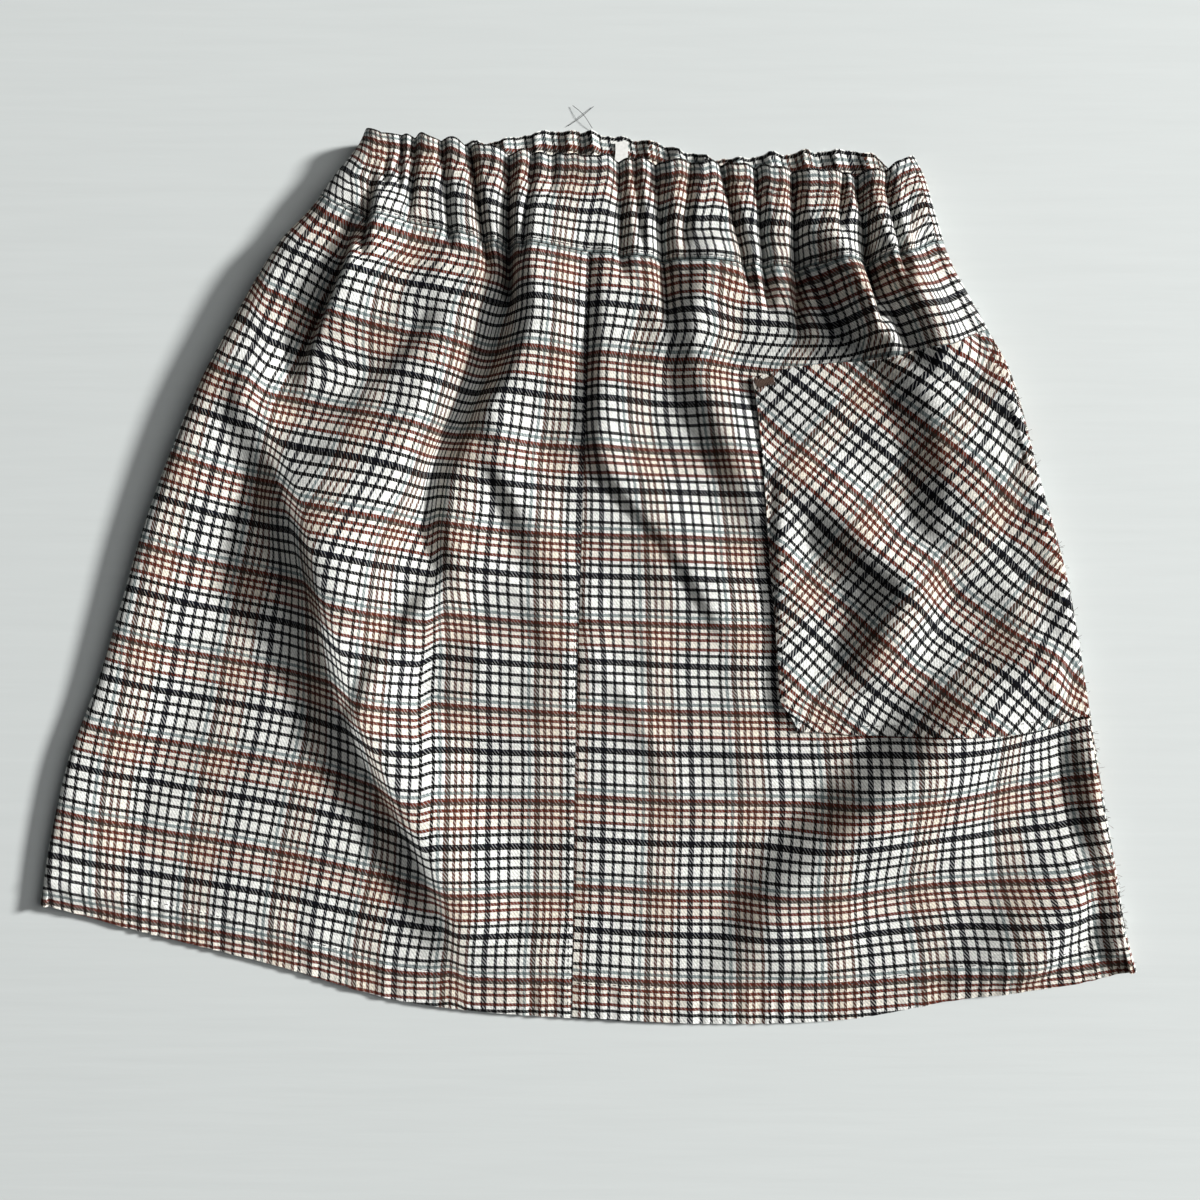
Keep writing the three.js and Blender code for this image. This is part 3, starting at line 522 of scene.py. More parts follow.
def front_band(a, w):
    """a runs from -1 to 2 as on the fronts, and w from the frill's top down to the waist seam."""
    y_left, y_right = heights("top", "waist", w)
    row = SimpleNamespace(
        y_left=y_left, y_right=y_right, left_top=left.top(y_left), right_top=right.top(y_right))
    ends = [(left.top(LEFT_ENDS[end]), right.top(RIGHT_ENDS[end])) for end in ("top", "waist")]
    x, y = between(row.left_top, row.right_top, (frill_edge, waist_seam), ends, a, w)
    flat = on_front(row, x, y, FAR, FAR)
    under = left.roll(y_left, np.pi / 2 + np.pi * a)
    down = right.roll(y_right, mix(np.pi / 2, wrap_angle(y_right, 1), a - 1))
    return np.where((a < 0)[..., None], under, np.where((a > 1)[..., None], down, flat))


# %% the back and its waistband
BACK_EDGE_FADE = 0.08  # the back's gathers fade out over this share of its width


def back_sheet(a, y_left, y_right, ends, lines, share, height):
    """a runs from -1, where the front ends on the right roll, down that roll, then flat to 1 on the left."""
    def left_end(y):
        """Where the back ends on the left, a gap inside the side fold."""
        return left.inside(y, left.radius(y) + SEAM_GAP)

    corners = [(right.top(RIGHT_ENDS[end]), left_end(LEFT_ENDS[end])) for end in ends]
    x, y = between(right.top(y_right), left_end(y_left), lines, corners, a, share)
    flat = np.stack([x, y, height(x, y, np.minimum(a, 1 - a))], -1)
    roll = right.roll(y_right, mix(-np.pi / 2, wrap_angle(y_right, -1), -a))
    return np.where((a < 0)[..., None], roll, flat)


def back_height(x, y, from_end):
    """The back's gathers stand up, because it lies on a level surface."""
    depth = gather_depth(BACK_GATHERS, DEEPEST_BACK_GATHER, x, y - back_waist_seam(x))
    return depth * smooth(from_end / BACK_EDGE_FADE)


def back_hem(x):
    """The hem line, moved in a little except at the corners."""
    from_sides = np.minimum(x - left.top(LEFT_ENDS["hem"])[0], right.top(RIGHT_ENDS["hem"])[0] - x)
    return hem_line(x) + BACK_HEM_SHORT * smooth(from_sides / HEM_CORNER)


def back(a, v):
    """The back, v from the waist seam down to the hem. It lies level."""
    y_left, y_right = heights("waist", "hem", v)
    lines = (back_waist_seam, back_hem)
    return back_sheet(a, y_left, y_right, ("waist", "hem"), lines, v, lambda x, y, edge: 0 * x)


def back_band(a, w):
    """The back of the waistband, w from the frill's top down to the waist seam."""
    y_left, y_right = heights("top", "waist", w)
    lines = (back_frill_edge, back_waist_seam)
    return back_sheet(a, y_left, y_right, ("top", "waist"), lines, w, back_height)


def seamed(sheet, side):
    """The sheet half a seam gap further down (side -1, a panel) or up (side 1, a waistband)."""
    return lambda a, v: sheet(a, v) + np.array([0, side * WAIST_SEAM_GAP / 2, 0])


# %% [markdown]
# ## From a sheet to a mesh
# The outer face is a grid of the sheet's own points. The inner face is the same grid moved inwards by the
# cloth's thickness, and four narrow strips close the edges. The grid's points go into the mesh as whole
# arrays, which is far quicker than one point at a time.

# %% shells of cloth
SHARP_FROM = 50  # degrees: the edges of the cloth are sharp, and its folds are not


def outward(sheet, a, v):
    """The direction out of the sheet: at right angles to how its points move with a and with v."""
    step = 1e-3
    along_a = sheet(a + step, v) - sheet(a - step, v)
    along_v = sheet(a, v + step) - sheet(a, v - step)
    out = np.cross(along_v, along_a)
    return out / np.linalg.norm(out, axis=-1, keepdims=True)


def grid_faces(columns, rows):
    """Corners of the quads of a closed wall with two grids of points and four strips round the edge."""
    at = np.arange(2 * columns * rows).reshape(2, columns, rows)
    o, n = at

    def quads(p, q, r, s):
        """One row of four corners for each place in the four grids."""
        return np.stack([p, q, r, s], -1).reshape(-1, 4)

    return np.concatenate([
        quads(o[:-1, :-1], o[:-1, 1:], o[1:, 1:], o[1:, :-1]),
        quads(n[:-1, :-1], n[1:, :-1], n[1:, 1:], n[:-1, 1:]),
        quads(o[:-1, 0], o[1:, 0], n[1:, 0], n[:-1, 0]),
        quads(o[1:, -1], o[:-1, -1], n[:-1, -1], n[1:, -1]),
        quads(o[0, 1:], o[0, :-1], n[0, :-1], n[0, 1:]),
        quads(o[-1, :-1], o[-1, 1:], n[-1, 1:], n[-1, :-1]),
    ])


def make_mesh(name, points, faces, uv, materials):
    """A mesh object from arrays, points in millimetres of the drawn outline, with a UV pair for each."""
    mesh = bpy.data.meshes.new(name)
    size = faces.shape[1]
    mesh.vertices.add(len(points))
    mesh.vertices.foreach_set("co", ((points - [CENTRE_X, CENTRE_Y, 0]) * MM).astype(np.float32).ravel())
    mesh.loops.add(faces.size)
    mesh.loops.foreach_set("vertex_index", faces.astype(np.int32).ravel())
    mesh.polygons.add(len(faces))
    mesh.polygons.foreach_set("loop_start", np.arange(len(faces), dtype=np.int32) * size)
    mesh.update(calc_edges=True)
    layer = mesh.uv_layers.new(name="cloth")
    layer.data.foreach_set("uv", uv[faces.ravel()].astype(np.float32).ravel())
    mesh.shade_smooth()
    mesh.set_sharp_from_angle(angle=math.radians(SHARP_FROM))
    for material in materials:
        mesh.materials.append(material)
    made = bpy.data.objects.new(name, mesh)
    bpy.context.collection.objects.link(made)
    print(name, "has", len(mesh.polygons) * (size - 2), "triangles")
    return made


def shell(name, sheet, across, down, weave, materials, outer=0.0, inner=-WALL, place=None):
    """A closed shell of cloth on a sheet, with its place in the weave as UVs. outer and inner are how far its
    two faces lie out of the sheet, and place may move the grid's spots."""
    a, v = np.meshgrid(across, down, indexing="ij")
    if place is not None:
        a, v = place(a, v)
    base, out = sheet(a, v), outward(sheet, a, v)
    faces = [base + out * np.broadcast_to(d, a.shape)[..., None] for d in (outer, inner)]
    points = np.stack(faces).reshape(-1, 3)
    uv = weave(a, v, base).reshape(-1, 2)
    return make_mesh(name, points, grid_faces(*a.shape), np.concatenate([uv, uv]), materials)


# %% [markdown]
# ## Where each point lies in the weave
# The pattern repeats every 36.1 mm both ways. A place in the weave is counted in repeats: u along the row of
# cloth, and v down the skirt. Along a row the length of the cloth itself counts, so that the checks narrow
# where it stands up in a fold, as seen from above.

# %% cloth taken up in folds
REPEAT = 36.1
# Towards its sides a front is shorter: by this much at this distance from the middle, and by its square.
HEM_RISE_LEFT, HEM_REACH_LEFT = 9.0, 215
HEM_RISE_RIGHT, HEM_REACH_RIGHT = 11.0, 230
WAIST_EASE = 2.8  # the gathers hold this much of a panel's length up at the waist
EASED_SHARE = 0.45  # and it is let out again over this share of the panel
# Places where cloth is hidden in a fold: how wide the place is, and along its line how much cloth is taken up
# there and how far the rows of the weave step on its far side.
TAKE_UPS = {
    "under the side drape": (9, table(
        "x y take step", [-131, 62, 0, -3], [-117, 29, 4, -6], [-103, -27, 11, -6.5], [-95, -57, 12, -5.5],
        [-78, -93, 8, -5], [-61, -128, 3, -4], [-52, -165, 0, -2])),
    "in the valley left of the middle": (8, table(
        "x y take step", [-33, 130, 0, 0], [-36, 112, 6, 0], [-41, 94, 11, 0], [-50, 70, 11, 0], [-62, 46, 11, 1],
        [-64, 22, 7, 3], [-60, -6, 3, 4], [-66, -40, 0, 4], [-66, -80, 0, 2], [-60, -140, 0, 1])),
}


def taken_up(x, y):
    """How much cloth lies hidden to the left of a point, and how far its row of the weave has stepped."""
    take, step = np.zeros(x.shape), np.zeros(x.shape)
    for width, line in TAKE_UPS.values():
        inside = np.clip(y, line["y"].min(), line["y"].max())
        share = smooth((x - curve(line, "y", "x")(inside)) / width + 0.5)
        take = take + curve(line, "y", "take")(inside) * share
        step = step + curve(line, "y", "step")(inside) * share
    return take, step


# %% [markdown]
# Woven cloth slips. Where a panel was eased into a seam, or where a fold pulls on it, its threads lie a few
# millimetres away from where their count along the row puts them. The rows below correct for that, and also
# for what the simple rows of the sheets leave out. They were set after measuring where the stripes lie. Each
# says where it counts, how far it moves the weave along the row and down, and how far it reaches.

# %% slack in the weave
def slip(places, x, y):
    """How far the weave has slipped at a point, along its rows and down. Each place in the list counts by a
    bell of its own reach, and the whole is divided by the sum of the bells."""
    total, along, down = 0.02, 0.0, 0.0
    for px, py, s, t, reach in zip(*places.values()):
        near = np.exp(-((x - px) ** 2 + (y - py) ** 2) / reach ** 2)
        total, along, down = total + near, along + near * s, down + near * t
    return along / total, down / total


SLIP_LEFT = table(
    "x y along down reach",
    [-138, 93, -2, 4, 18], [-140, 70, -1.5, 0.8, 20], [-114, 95, -1.5, 3, 16], [-90, 95, -6, -1, 18],
    [-65, 95, -6.5, -1, 20], [-42, 95, -7, -1, 16], [-17, 95, 1.5, 0.8, 18], [-17, 70, 0, 0.5, 18],
    [-75, 60, 1.5, 0, 24], [-40, 50, 4.5, 0, 18], [-40, 15, 2, 0, 20], [-15, 30, 2, 0, 24],
    [-60, 20, 3, 0, 20], [-162, 45, -1.8, 0.7, 22], [-115, 10, 0, -1.5, 26], [-160, 10, -1.5, 0.5, 30],
    [-180, -25, 0.5, -2.5, 30], [-140, -30, 0, -2, 26], [-90, -30, 0.5, -2.5, 24], [-60, -30, -0.5, 0, 20],
    [-20, -40, 0.3, 0, 30], [-185, -70, -0.5, -4, 30], [-130, -75, -2, -4, 30], [-85, -75, -1.7, -3.5, 22],
    [-50, -75, -2, -1, 22], [-15, -80, -1.4, 0.9, 24], [-180, -125, -1, -4.5, 30],
    [-130, -130, -0.7, -4, 30], [-90, -120, -1.8, -3.5, 26], [-45, -125, -1.6, -2.5, 26],
    [-15, -125, -1.6, -0.8, 20], [-140, -150, 0.7, -4, 20], [-90, -155, 1, -3.5, 20],
    [-45, -170, 0.5, -1.5, 20], [-20, -170, 0, 0.3, 20])
SLIP_RIGHT = table(
    "x y along down reach",
    [12, 95, 6, 0, 24], [5, 68, 6, -0.3, 20], [28, 66, 5, -1.2, 18], [55, 66, 1, 0, 22],
    [74, 93, 3, -2.5, 16], [12, 40, 2, -2, 22], [50, 35, 1, -0.6, 24], [0, 5, 1.8, -1, 22],
    [50, 0, 0, 0, 30], [75, -20, -0.7, 0.5, 20], [10, -75, -1.3, 0.8, 34], [70, -75, -1.5, 1.4, 26],
    [120, -62, -3.3, 0.5, 24], [150, -62, -6.5, -1.8, 20], [100, -95, -1.8, 0.9, 26],
    [150, -95, -2, -1.4, 20], [173, -92, 0.7, 2, 20], [197, -80, 1.2, 1.3, 22], [20, -120, -1, 0.5, 30],
    [70, -125, 0, 1.3, 30], [120, -125, 0.3, 0.3, 30], [170, -130, 0, -0.6, 26], [30, -165, 0.5, -0.7, 30],
    [90, -160, 0.2, -0.5, 30], [150, -155, -1.2, -2.2, 26], [172, -162, -2, -3, 22],
    [200, -145, -3.6, -2.2, 26])
SLIP_POCKET = table(
    "x y along down reach",
    [73, 70, 0, -1.4, 20], [73, 45, -0.3, -0.5, 20], [73, 20, 0.3, 1, 20], [73, -5, 1.3, 2.3, 20],
    [92, -30, 2.2, 3.2, 20], [92, -52, 2.5, 3.6, 20], [95, 60, 1, 0.5, 22], [113, 50, 1.2, 1, 22],
    [113, 10, 0.6, 0.5, 24], [113, -30, 1.8, 2, 18], [133, -51, 2, 1, 20], [135, 45, 0.4, 1.7, 20],
    [155, 85, -0.7, 4, 20], [153, 45, -0.9, 2, 22], [153, 0, -0.9, 1.3, 26], [175, 30, -2.5, 1.3, 20],
    [174, -12, -1.2, 1.1, 22], [150, -45, 0, 1, 22], [194, -35, -3.4, 0.4, 20], [194, -54, -3.2, -2.5, 16])


# %% [markdown]
# The two fronts were cut a little differently, so the stripes don't quite meet at the middle seam. Each piece
# has its own start in the pattern, and the fronts also their true width at the waist and at the hem.

# %% cloth coordinates
NEIGHBOURS = 6  # rows on each side
LEFT_WIDTHS, RIGHT_WIDTHS = (177.0, 216.0), (202.0, 220.0)
BAND_GATHER = 1.25  # length of cloth in the band for each unit of its own surface
START = {  # where the pattern stands at each piece's own zero, along its rows and down
    "left": (13.6, -5.6), "right": (3.9, -3.2), "band": (16, -5.8), "back": (5, -6.5), "back band": (7, -6.5),
    "pocket": (-0.5, -13),
}


def in_repeats(piece, s, t):
    """A place in millimetres of cloth, from the piece's start, counted in repeats of the pattern."""
    along, down = START[piece]
    return np.stack(np.broadcast_arrays((s + along) / REPEAT, (t + down) / REPEAT), -1)


def run_along(points):
    """The length of each row of a grid of points from its first column, added up column by column.

    The threads run on straight over small steps, so each row's length is the mean over its neighbours:
    run(row) = the sum of run(row - 6) to run(row + 6), divided by 13.
    """
    steps = np.linalg.norm(np.diff(points, axis=0), axis=-1)
    run = np.concatenate([np.zeros((1, points.shape[1])), np.cumsum(steps, axis=0)])
    padded, rows = np.pad(run, ((0, 0), (NEIGHBOURS, NEIGHBOURS)), mode="edge"), run.shape[1]
    return np.mean([padded[:, i:i + rows] for i in range(2 * NEIGHBOURS + 1)], axis=0)


def weave_left(a, v, points):
    """Place in the weave on the left front, with the middle seam at s = 0 and the sides negative.

    s is the length along the row, scaled to the front's true width there. t is v times the front's length
    there, plus the row's step past a fold, less what the gathers hold up at the waist.
    """
    x, y = points[..., 0], points[..., 1]
    taken, step = taken_up(x, y)
    run = run_along(points) + taken
    zero = np.argmin(np.abs(a[:, 0]))
    s = (run - run[-1]) * mix(*LEFT_WIDTHS, v[0]) / (run[-1] - run[zero])
    eased = WAIST_EASE * (1 - smooth(v / EASED_SHARE))
    t = v * (DROP - HEM_RISE_LEFT * (s / HEM_REACH_LEFT) ** 2) + step - step[-1] - eased / 2
    along, down = slip(SLIP_LEFT, x, y)
    return in_repeats("left", s + along, t + down)


def weave_right(a, v, points):
    """Place in the weave on the right front, with the middle seam at s = 0, worked out as on the left."""
    run = run_along(points)
    one = np.argmin(np.abs(a[:, 0] - 1))
    s = run * mix(*RIGHT_WIDTHS, v[0]) / run[one]
    eased = WAIST_EASE * (1 - smooth(v / EASED_SHARE))
    t = v * (DROP - HEM_RISE_RIGHT * (s / HEM_REACH_RIGHT) ** 2) - eased
    along, down = slip(SLIP_RIGHT, points[..., 0], points[..., 1])
    return in_repeats("right", s + along, t + down)


def weave_band(a, w, points):
    """Place in the weave on the waistband, counted from its column nearest to x = 0, and up from the waist
    seam."""
    run = run_along(points)
    middle = np.argmin(np.abs(points[:, -1, 0]) + 99 * (np.abs(a[:, 0] - 0.5) > 0.3))
    return in_repeats("band", (run - run[middle]) * BAND_GATHER, -BAND_HEIGHT * (1 - w))


def weave_back(a, v, points):
    """Place in the weave on the back, counted from its middle column."""
    run = run_along(points)
    return in_repeats("back", run - run[len(run) // 2], v * DROP)


def weave_back_band(a, w, points):
    """Place in the weave on the back of the waistband, counted from its right end."""
    return in_repeats("back band", run_along(points), -BAND_HEIGHT * (1 - w))


# %% [markdown]
# ## The weave as a material
# One repeat has 22 stripes, 112 parts wide, the same in warp and weft. A twill weave lets each warp thread
# pass over two weft threads and under the next two, one further along on each row, so half of every patch
# shows the warp and half the weft. Black is solid only where black crosses black. Where it crosses cream, it
# is a fine slanting hatch, and that is what gives a woven plaid its middle tones.

# %% colours of the threads
def srgb(r, g, b):
    """A colour from 0 to 255, as a picture holds it, in the linear light that a material wants."""
    c = np.array([r, g, b]) / 255
    return (*np.where(c <= 0.04045, c / 12.92, ((c + 0.055) / 1.055) ** 2.4), 1.0)


CREAM = srgb(236, 236, 232)
SAND = srgb(234, 228, 216)
BLACK = srgb(2, 2, 4)
NAVY = srgb(6, 9, 22)
RUST = srgb(100, 42, 29)
TAN = srgb(88, 54, 41)
TEAL = srgb(122, 134, 134)
BROWN = srgb(72, 62, 54)
# Each stripe's width in parts and its colour, in order: down the weft, and to the right in the warp. A third
# entry is the colour in the warp, where tan stands for rust and navy for two of the black stripes.
SETT = [
    (4, RUST, TAN), (4, SAND), (4, RUST, TAN), (8, SAND), (4, RUST, TAN), (4, CREAM), (4, BLACK), (8, CREAM),
    (4, NAVY), (4, BLACK, NAVY), (8, CREAM), (4, BLACK, NAVY), (8, CREAM), (4, BLACK), (12, CREAM),
    (4, BLACK), (4, CREAM), (4, TEAL), (4, CREAM), (4, RUST, TAN), (4, BROWN), (4, SAND),
]
SETT_LENGTH = sum(stripe[0] for stripe in SETT)
WARP_THREADS, WEFT_THREADS = 108, 84  # in a repeat: the warp lies closer than the weft
RIB = 4.0  # threads from one rib of the twill to the next
WARP_FULLER, WEFT_FULLER = 0.24, 0.34  # what a black thread takes of a rib beyond the half, over a white one
MELANGE = 0.3  # how much the tone varies from thread to thread
print("warp threads are", round(REPEAT / WARP_THREADS, 2), "mm wide")
print("weft threads are", round(REPEAT / WEFT_THREADS, 2), "mm wide")


# %% helpers for node trees
def node(tree, kind, inputs=None, **settings):
    """A node of a kind, with its settings and its inputs, each a value or an output to link."""
    made = tree.nodes.new(kind)
    for key, value in settings.items():
        setattr(made, key, value)
    for key, value in (inputs or {}).items():
        if isinstance(value, bpy.types.NodeSocket):
            tree.links.new(value, made.inputs[key])
        else:
            made.inputs[key].default_value = value
    return made


def maths(tree, operation, *values, clamp=False):
    """The result of a sum: the operation's name, and its values or outputs."""
    inputs = dict(enumerate(values))
    return node(tree, "ShaderNodeMath", inputs, operation=operation, use_clamp=clamp).outputs[0]


def mixed(tree, factor, a, b, blend="MIX"):
    """Colour a at factor 0 and b at factor 1."""
    made = node(tree, "ShaderNodeMix", {0: factor, 6: a, 7: b}, data_type="RGBA", blend_type=blend)
    return made.outputs[2]


def group(name, inputs, outputs):
    """A node group with named sockets: (name, kind, value) going in and (name, kind) coming out.

    Gives the tree, the outputs of its inner input node and the inputs of its output node.
    """
    tree = bpy.data.node_groups.new(name, "ShaderNodeTree")
    for label, kind, value in inputs:
        socket = tree.interface.new_socket(label, in_out="INPUT", socket_type=f"NodeSocket{kind}")
        if value is not None:
            socket.default_value = value
    for label, kind in outputs:
        tree.interface.new_socket(label, in_out="OUTPUT", socket_type=f"NodeSocket{kind}")
    return tree, tree.nodes.new("NodeGroupInput").outputs, tree.nodes.new("NodeGroupOutput").inputs


def sett_ramp(tree, number, threads, which):
    """The sett as a colour ramp with hard steps, read in the middle of a thread, so that a thread has one
    colour along its whole length. which is 1 for the colours of the weft and -1 for those of the warp."""
    middle = maths(tree, "DIVIDE", maths(tree, "ADD", number, 0.5), float(threads))
    ramp = node(tree, "ShaderNodeValToRGB", {"Fac": maths(tree, "FRACT", middle)})
    stops = ramp.color_ramp
    stops.interpolation = "CONSTANT"
    while len(stops.elements) > 1:
        stops.elements.remove(stops.elements[-1])
    begun = 0
    for stripe in SETT:
        stop = stops.elements.new(begun / SETT_LENGTH) if begun else stops.elements[0]
        stop.position, stop.color = begun / SETT_LENGTH, stripe[which]
        begun += stripe[0]
    return ramp.outputs["Color"]


# %% the weave
def make_weave():
    """Colour and height of a 2/2 twill.

    The threads cross in slanting ribs. A spot shows the warp where the fraction of (warp thread - weft
    thread) / RIB is under the rib's share, and elsewhere the weft. Dark threads take a larger share.
    """
    tree, given, out = group(
        "twill plaid",
        [("Place", "Vector", (0, 0, 0)), ("Melange", "Float", MELANGE), ("Show-through", "Float", 0.55)],
        [("Color", "Color"), ("Height", "Float")])
    split = node(tree, "ShaderNodeSeparateXYZ", {0: given["Place"]})
    across, down = split.outputs["X"], split.outputs["Y"]
    i_place = maths(tree, "MULTIPLY", across, WARP_THREADS)
    j_place = maths(tree, "MULTIPLY", down, WEFT_THREADS)
    i, j = maths(tree, "FLOOR", i_place), maths(tree, "FLOOR", j_place)
    warp = sett_ramp(tree, i, WARP_THREADS, -1)
    weft = sett_ramp(tree, j, WEFT_THREADS, 1)

    def darkness(colour):
        """1 for black and 0 for white."""
        return maths(tree, "SUBTRACT", 1.0, node(tree, "ShaderNodeRGBToBW", {0: colour}).outputs[0])

    # A rib's share for the warp is half, more where the warp is the darker one and less where the weft is.
    fuller_warp = maths(tree, "MULTIPLY", darkness(warp), WARP_FULLER)
    fuller_weft = maths(tree, "MULTIPLY", darkness(weft), WEFT_FULLER)
    share = maths(tree, "ADD", maths(tree, "SUBTRACT", fuller_warp, fuller_weft), 0.5)
    rib = maths(tree, "FRACT", maths(tree, "DIVIDE", maths(tree, "SUBTRACT", i_place, j_place), RIB))
    warp_on_top = maths(tree, "LESS_THAN", rib, share)

    def thread_tone(number, along):
        """How light a thread is here: it varies from thread to thread and slowly along each one."""
        spot = node(tree, "ShaderNodeCombineXYZ", {"X": maths(tree, "MULTIPLY", number, 7.31), "Y": along})
        noise = node(tree, "ShaderNodeTexNoise", {
            "Vector": spot.outputs[0], "Scale": 1.0, "Detail": 0.0}, noise_dimensions="2D")
        return maths(tree, "MULTIPLY", maths(tree, "SUBTRACT", noise.outputs["Fac"], 0.5), 2.0)

    def round_top(place):
        """The round profile of a thread: highest in the middle."""
        centred = maths(tree, "SUBTRACT", maths(tree, "FRACT", place), 0.5)
        square = maths(tree, "MULTIPLY", maths(tree, "MULTIPLY", centred, centred), 4.0)
        return maths(tree, "SUBTRACT", 1.0, square)

    def chosen(of_weft, of_warp):
        """The value of whichever thread lies on top."""
        return node(
            tree, "ShaderNodeMix", {0: warp_on_top, 2: of_weft, 3: of_warp}, data_type="FLOAT").outputs[0]

    def edge(place):
        """Nought on the line where warp and weft change places, and 1 a quarter of a rib away from it."""
        gap = maths(tree, "SUBTRACT", rib, place)
        near = maths(tree, "ABSOLUTE", maths(tree, "SUBTRACT", gap, maths(tree, "ROUND", gap)))
        return maths(tree, "MULTIPLY", near, 4.0, clamp=True)

    top, under = mixed(tree, warp_on_top, weft, warp), mixed(tree, warp_on_top, warp, weft)
    colour = mixed(tree, given["Show-through"], top, under, "MULTIPLY")
    weft_tone = thread_tone(j, maths(tree, "MULTIPLY", across, 9.0))
    warp_tone = thread_tone(i, maths(tree, "MULTIPLY", down, 9.0))
    tone = chosen(weft_tone, warp_tone)
    height = maths(tree, "MULTIPLY", chosen(round_top(j_place), round_top(i_place)), 0.4)
    height = maths(tree, "ADD", height, maths(tree, "MULTIPLY", edge(0.0), 0.6))
    # Between two threads and between two ribs the weave is in its own shade.
    open_to_light = maths(tree, "ADD", maths(tree, "MULTIPLY", height, 0.72), 0.46)
    lightness = maths(tree, "ADD", maths(tree, "MULTIPLY", tone, given["Melange"]), 1.0)
    lightness = maths(tree, "MULTIPLY", lightness, open_to_light)
    made = node(tree, "ShaderNodeHueSaturation", {"Color": colour, "Value": lightness})
    tree.links.new(made.outputs[0], out["Color"])
    tree.links.new(height, out["Height"])
    return tree


def make_nap():
    """Fibres that stand off the cloth: a fine noise and a broad one, as a share to lighten and to fade by."""
    tree, given, out = group(
        "nap and wear",
        [("Color", "Color", (1, 1, 1, 1)), ("Point", "Vector", (0, 0, 0)), ("Amount", "Float", 1.0)],
        [("Color", "Color"), ("Height", "Float")])
    fine = node(tree, "ShaderNodeTexNoise", {"Vector": given["Point"], "Scale": 1500.0, "Detail": 1.0})
    broad = node(tree, "ShaderNodeTexNoise", {"Vector": given["Point"], "Scale": 22.0, "Detail": 2.0})
    fibres = maths(tree, "MULTIPLY", maths(tree, "SUBTRACT", fine.outputs["Fac"], 0.5), 0.5)
    worn = maths(tree, "MULTIPLY", maths(tree, "SUBTRACT", broad.outputs["Fac"], 0.5), 0.2)
    change = maths(tree, "MULTIPLY", maths(tree, "ADD", fibres, worn), given["Amount"])
    value = maths(tree, "ADD", change, 1.0)
    made = node(tree, "ShaderNodeHueSaturation", {"Color": given["Color"], "Value": value})
    fuzz = mixed(tree, 0.006, made.outputs[0], srgb(190, 188, 184))
    tree.links.new(fuzz, out["Color"])
    tree.links.new(fine.outputs["Fac"], out["Height"])
    return tree


WEAVE, NAP = make_weave(), make_nap()


def new_material(name):
    """A material, its node tree and its shader."""
    material = bpy.data.materials.new(name)
    material.use_nodes = True
    return material, material.node_tree, material.node_tree.nodes["Principled BSDF"]


def plaid_material(name):
    """Woven plaid: the weave read at the cloth's own coordinates, with nap and wear over it."""
    material, tree, shader = new_material(name)
    place = node(tree, "ShaderNodeUVMap", uv_map="cloth").outputs["UV"]
    point = node(tree, "ShaderNodeTexCoord").outputs["Object"]
    weave = node(tree, "ShaderNodeGroup", node_tree=WEAVE)
    tree.links.new(place, weave.inputs["Place"])
    nap = node(tree, "ShaderNodeGroup", node_tree=NAP)
    tree.links.new(weave.outputs["Color"], nap.inputs["Color"])
    tree.links.new(point, nap.inputs["Point"])
    height = maths(tree, "ADD", weave.outputs["Height"], maths(tree, "MULTIPLY", nap.outputs["Height"], 0.6))
    bump = node(tree, "ShaderNodeBump", {"Height": height, "Strength": 0.5, "Distance": 0.00012})
    tree.links.new(nap.outputs["Color"], shader.inputs["Base Color"])
    tree.links.new(bump.outputs["Normal"], shader.inputs["Normal"])
    shader.inputs["Roughness"].default_value = 0.95
    shader.inputs["Specular IOR Level"].default_value = 0.08
    return material


plaid = plaid_material("woven plaid")
bias = plaid_material("woven plaid on the bias")

# %% [markdown]
# ## The pieces
# Points of the grid lie about 1.3 mm apart, and 1 mm apart along the waistband, which is fine enough for the
# narrowest gather. Each panel and each half of the waistband stops half a seam gap short of its seam.

# %% the panels
front_left = shell(
    "front_left_cloth", seamed(left_front, -1), np.r_[np.linspace(-1, 0, 25), np.linspace(0, 1, 151)[1:]],
    np.linspace(0, 1, 241), weave_left, [plaid])
front_right = shell(
    "front_right_cloth", seamed(right_front, -1), np.r_[np.linspace(0, 1, 171), np.linspace(1, 2, 11)[1:]],
    np.linspace(0, 1, 251), weave_right, [plaid])
back_cloth = shell(
    "back_cloth", seamed(back, -1), np.r_[np.linspace(-1, 0, 15), np.linspace(0, 1, 121)[1:]],
    np.linspace(0, 1, 121), weave_back, [plaid])

# %% the waistband
band_front = shell(
    "waistband_front_cloth", seamed(front_band, 1),
    np.r_[np.linspace(-1, 0, 25), np.linspace(0, 1, 331)[1:], np.linspace(1, 2, 11)[1:]],
    np.linspace(0, 1, 61), weave_band, [plaid])
band_back = shell(
    "waistband_back_cloth", seamed(back_band, 1), np.r_[np.linspace(-1, 0, 15), np.linspace(0, 1, 261)[1:]],
    np.linspace(0, 1, 51), weave_back_band, [plaid])

# %% the pocket
POCKET_LEFT = 0.414
POCKET_TOP = table("across down", [0.414, 0.141], [0.547, 0.125], [0.69, 0.122], [0.89, 0.117], [2, 0.122])
POCKET_BOTTOM = table("across down", [0.414, 0.613], [0.5, 0.617], [0.644, 0.632], [0.866, 0.643], [2, 0.65])
POCKET_FROM = 0.13  # share of the way down at which the pocket's own zero lies
POCKET_GAP = 0.4
MOUTH_OFF, MOUTH_REACH = 1.4, 0.09  # the mouth stands off the front, and for this share of the way down
pocket_top = curve(POCKET_TOP, "across", "down")
pocket_bottom = curve(POCKET_BOTTOM, "across", "down")
BIAS_TURN = math.radians(45.6)
BIAS_STRETCH = {"along": 1 / 0.975, "down": 1 / 0.93}  # cloth on the bias gives, more one way than the other


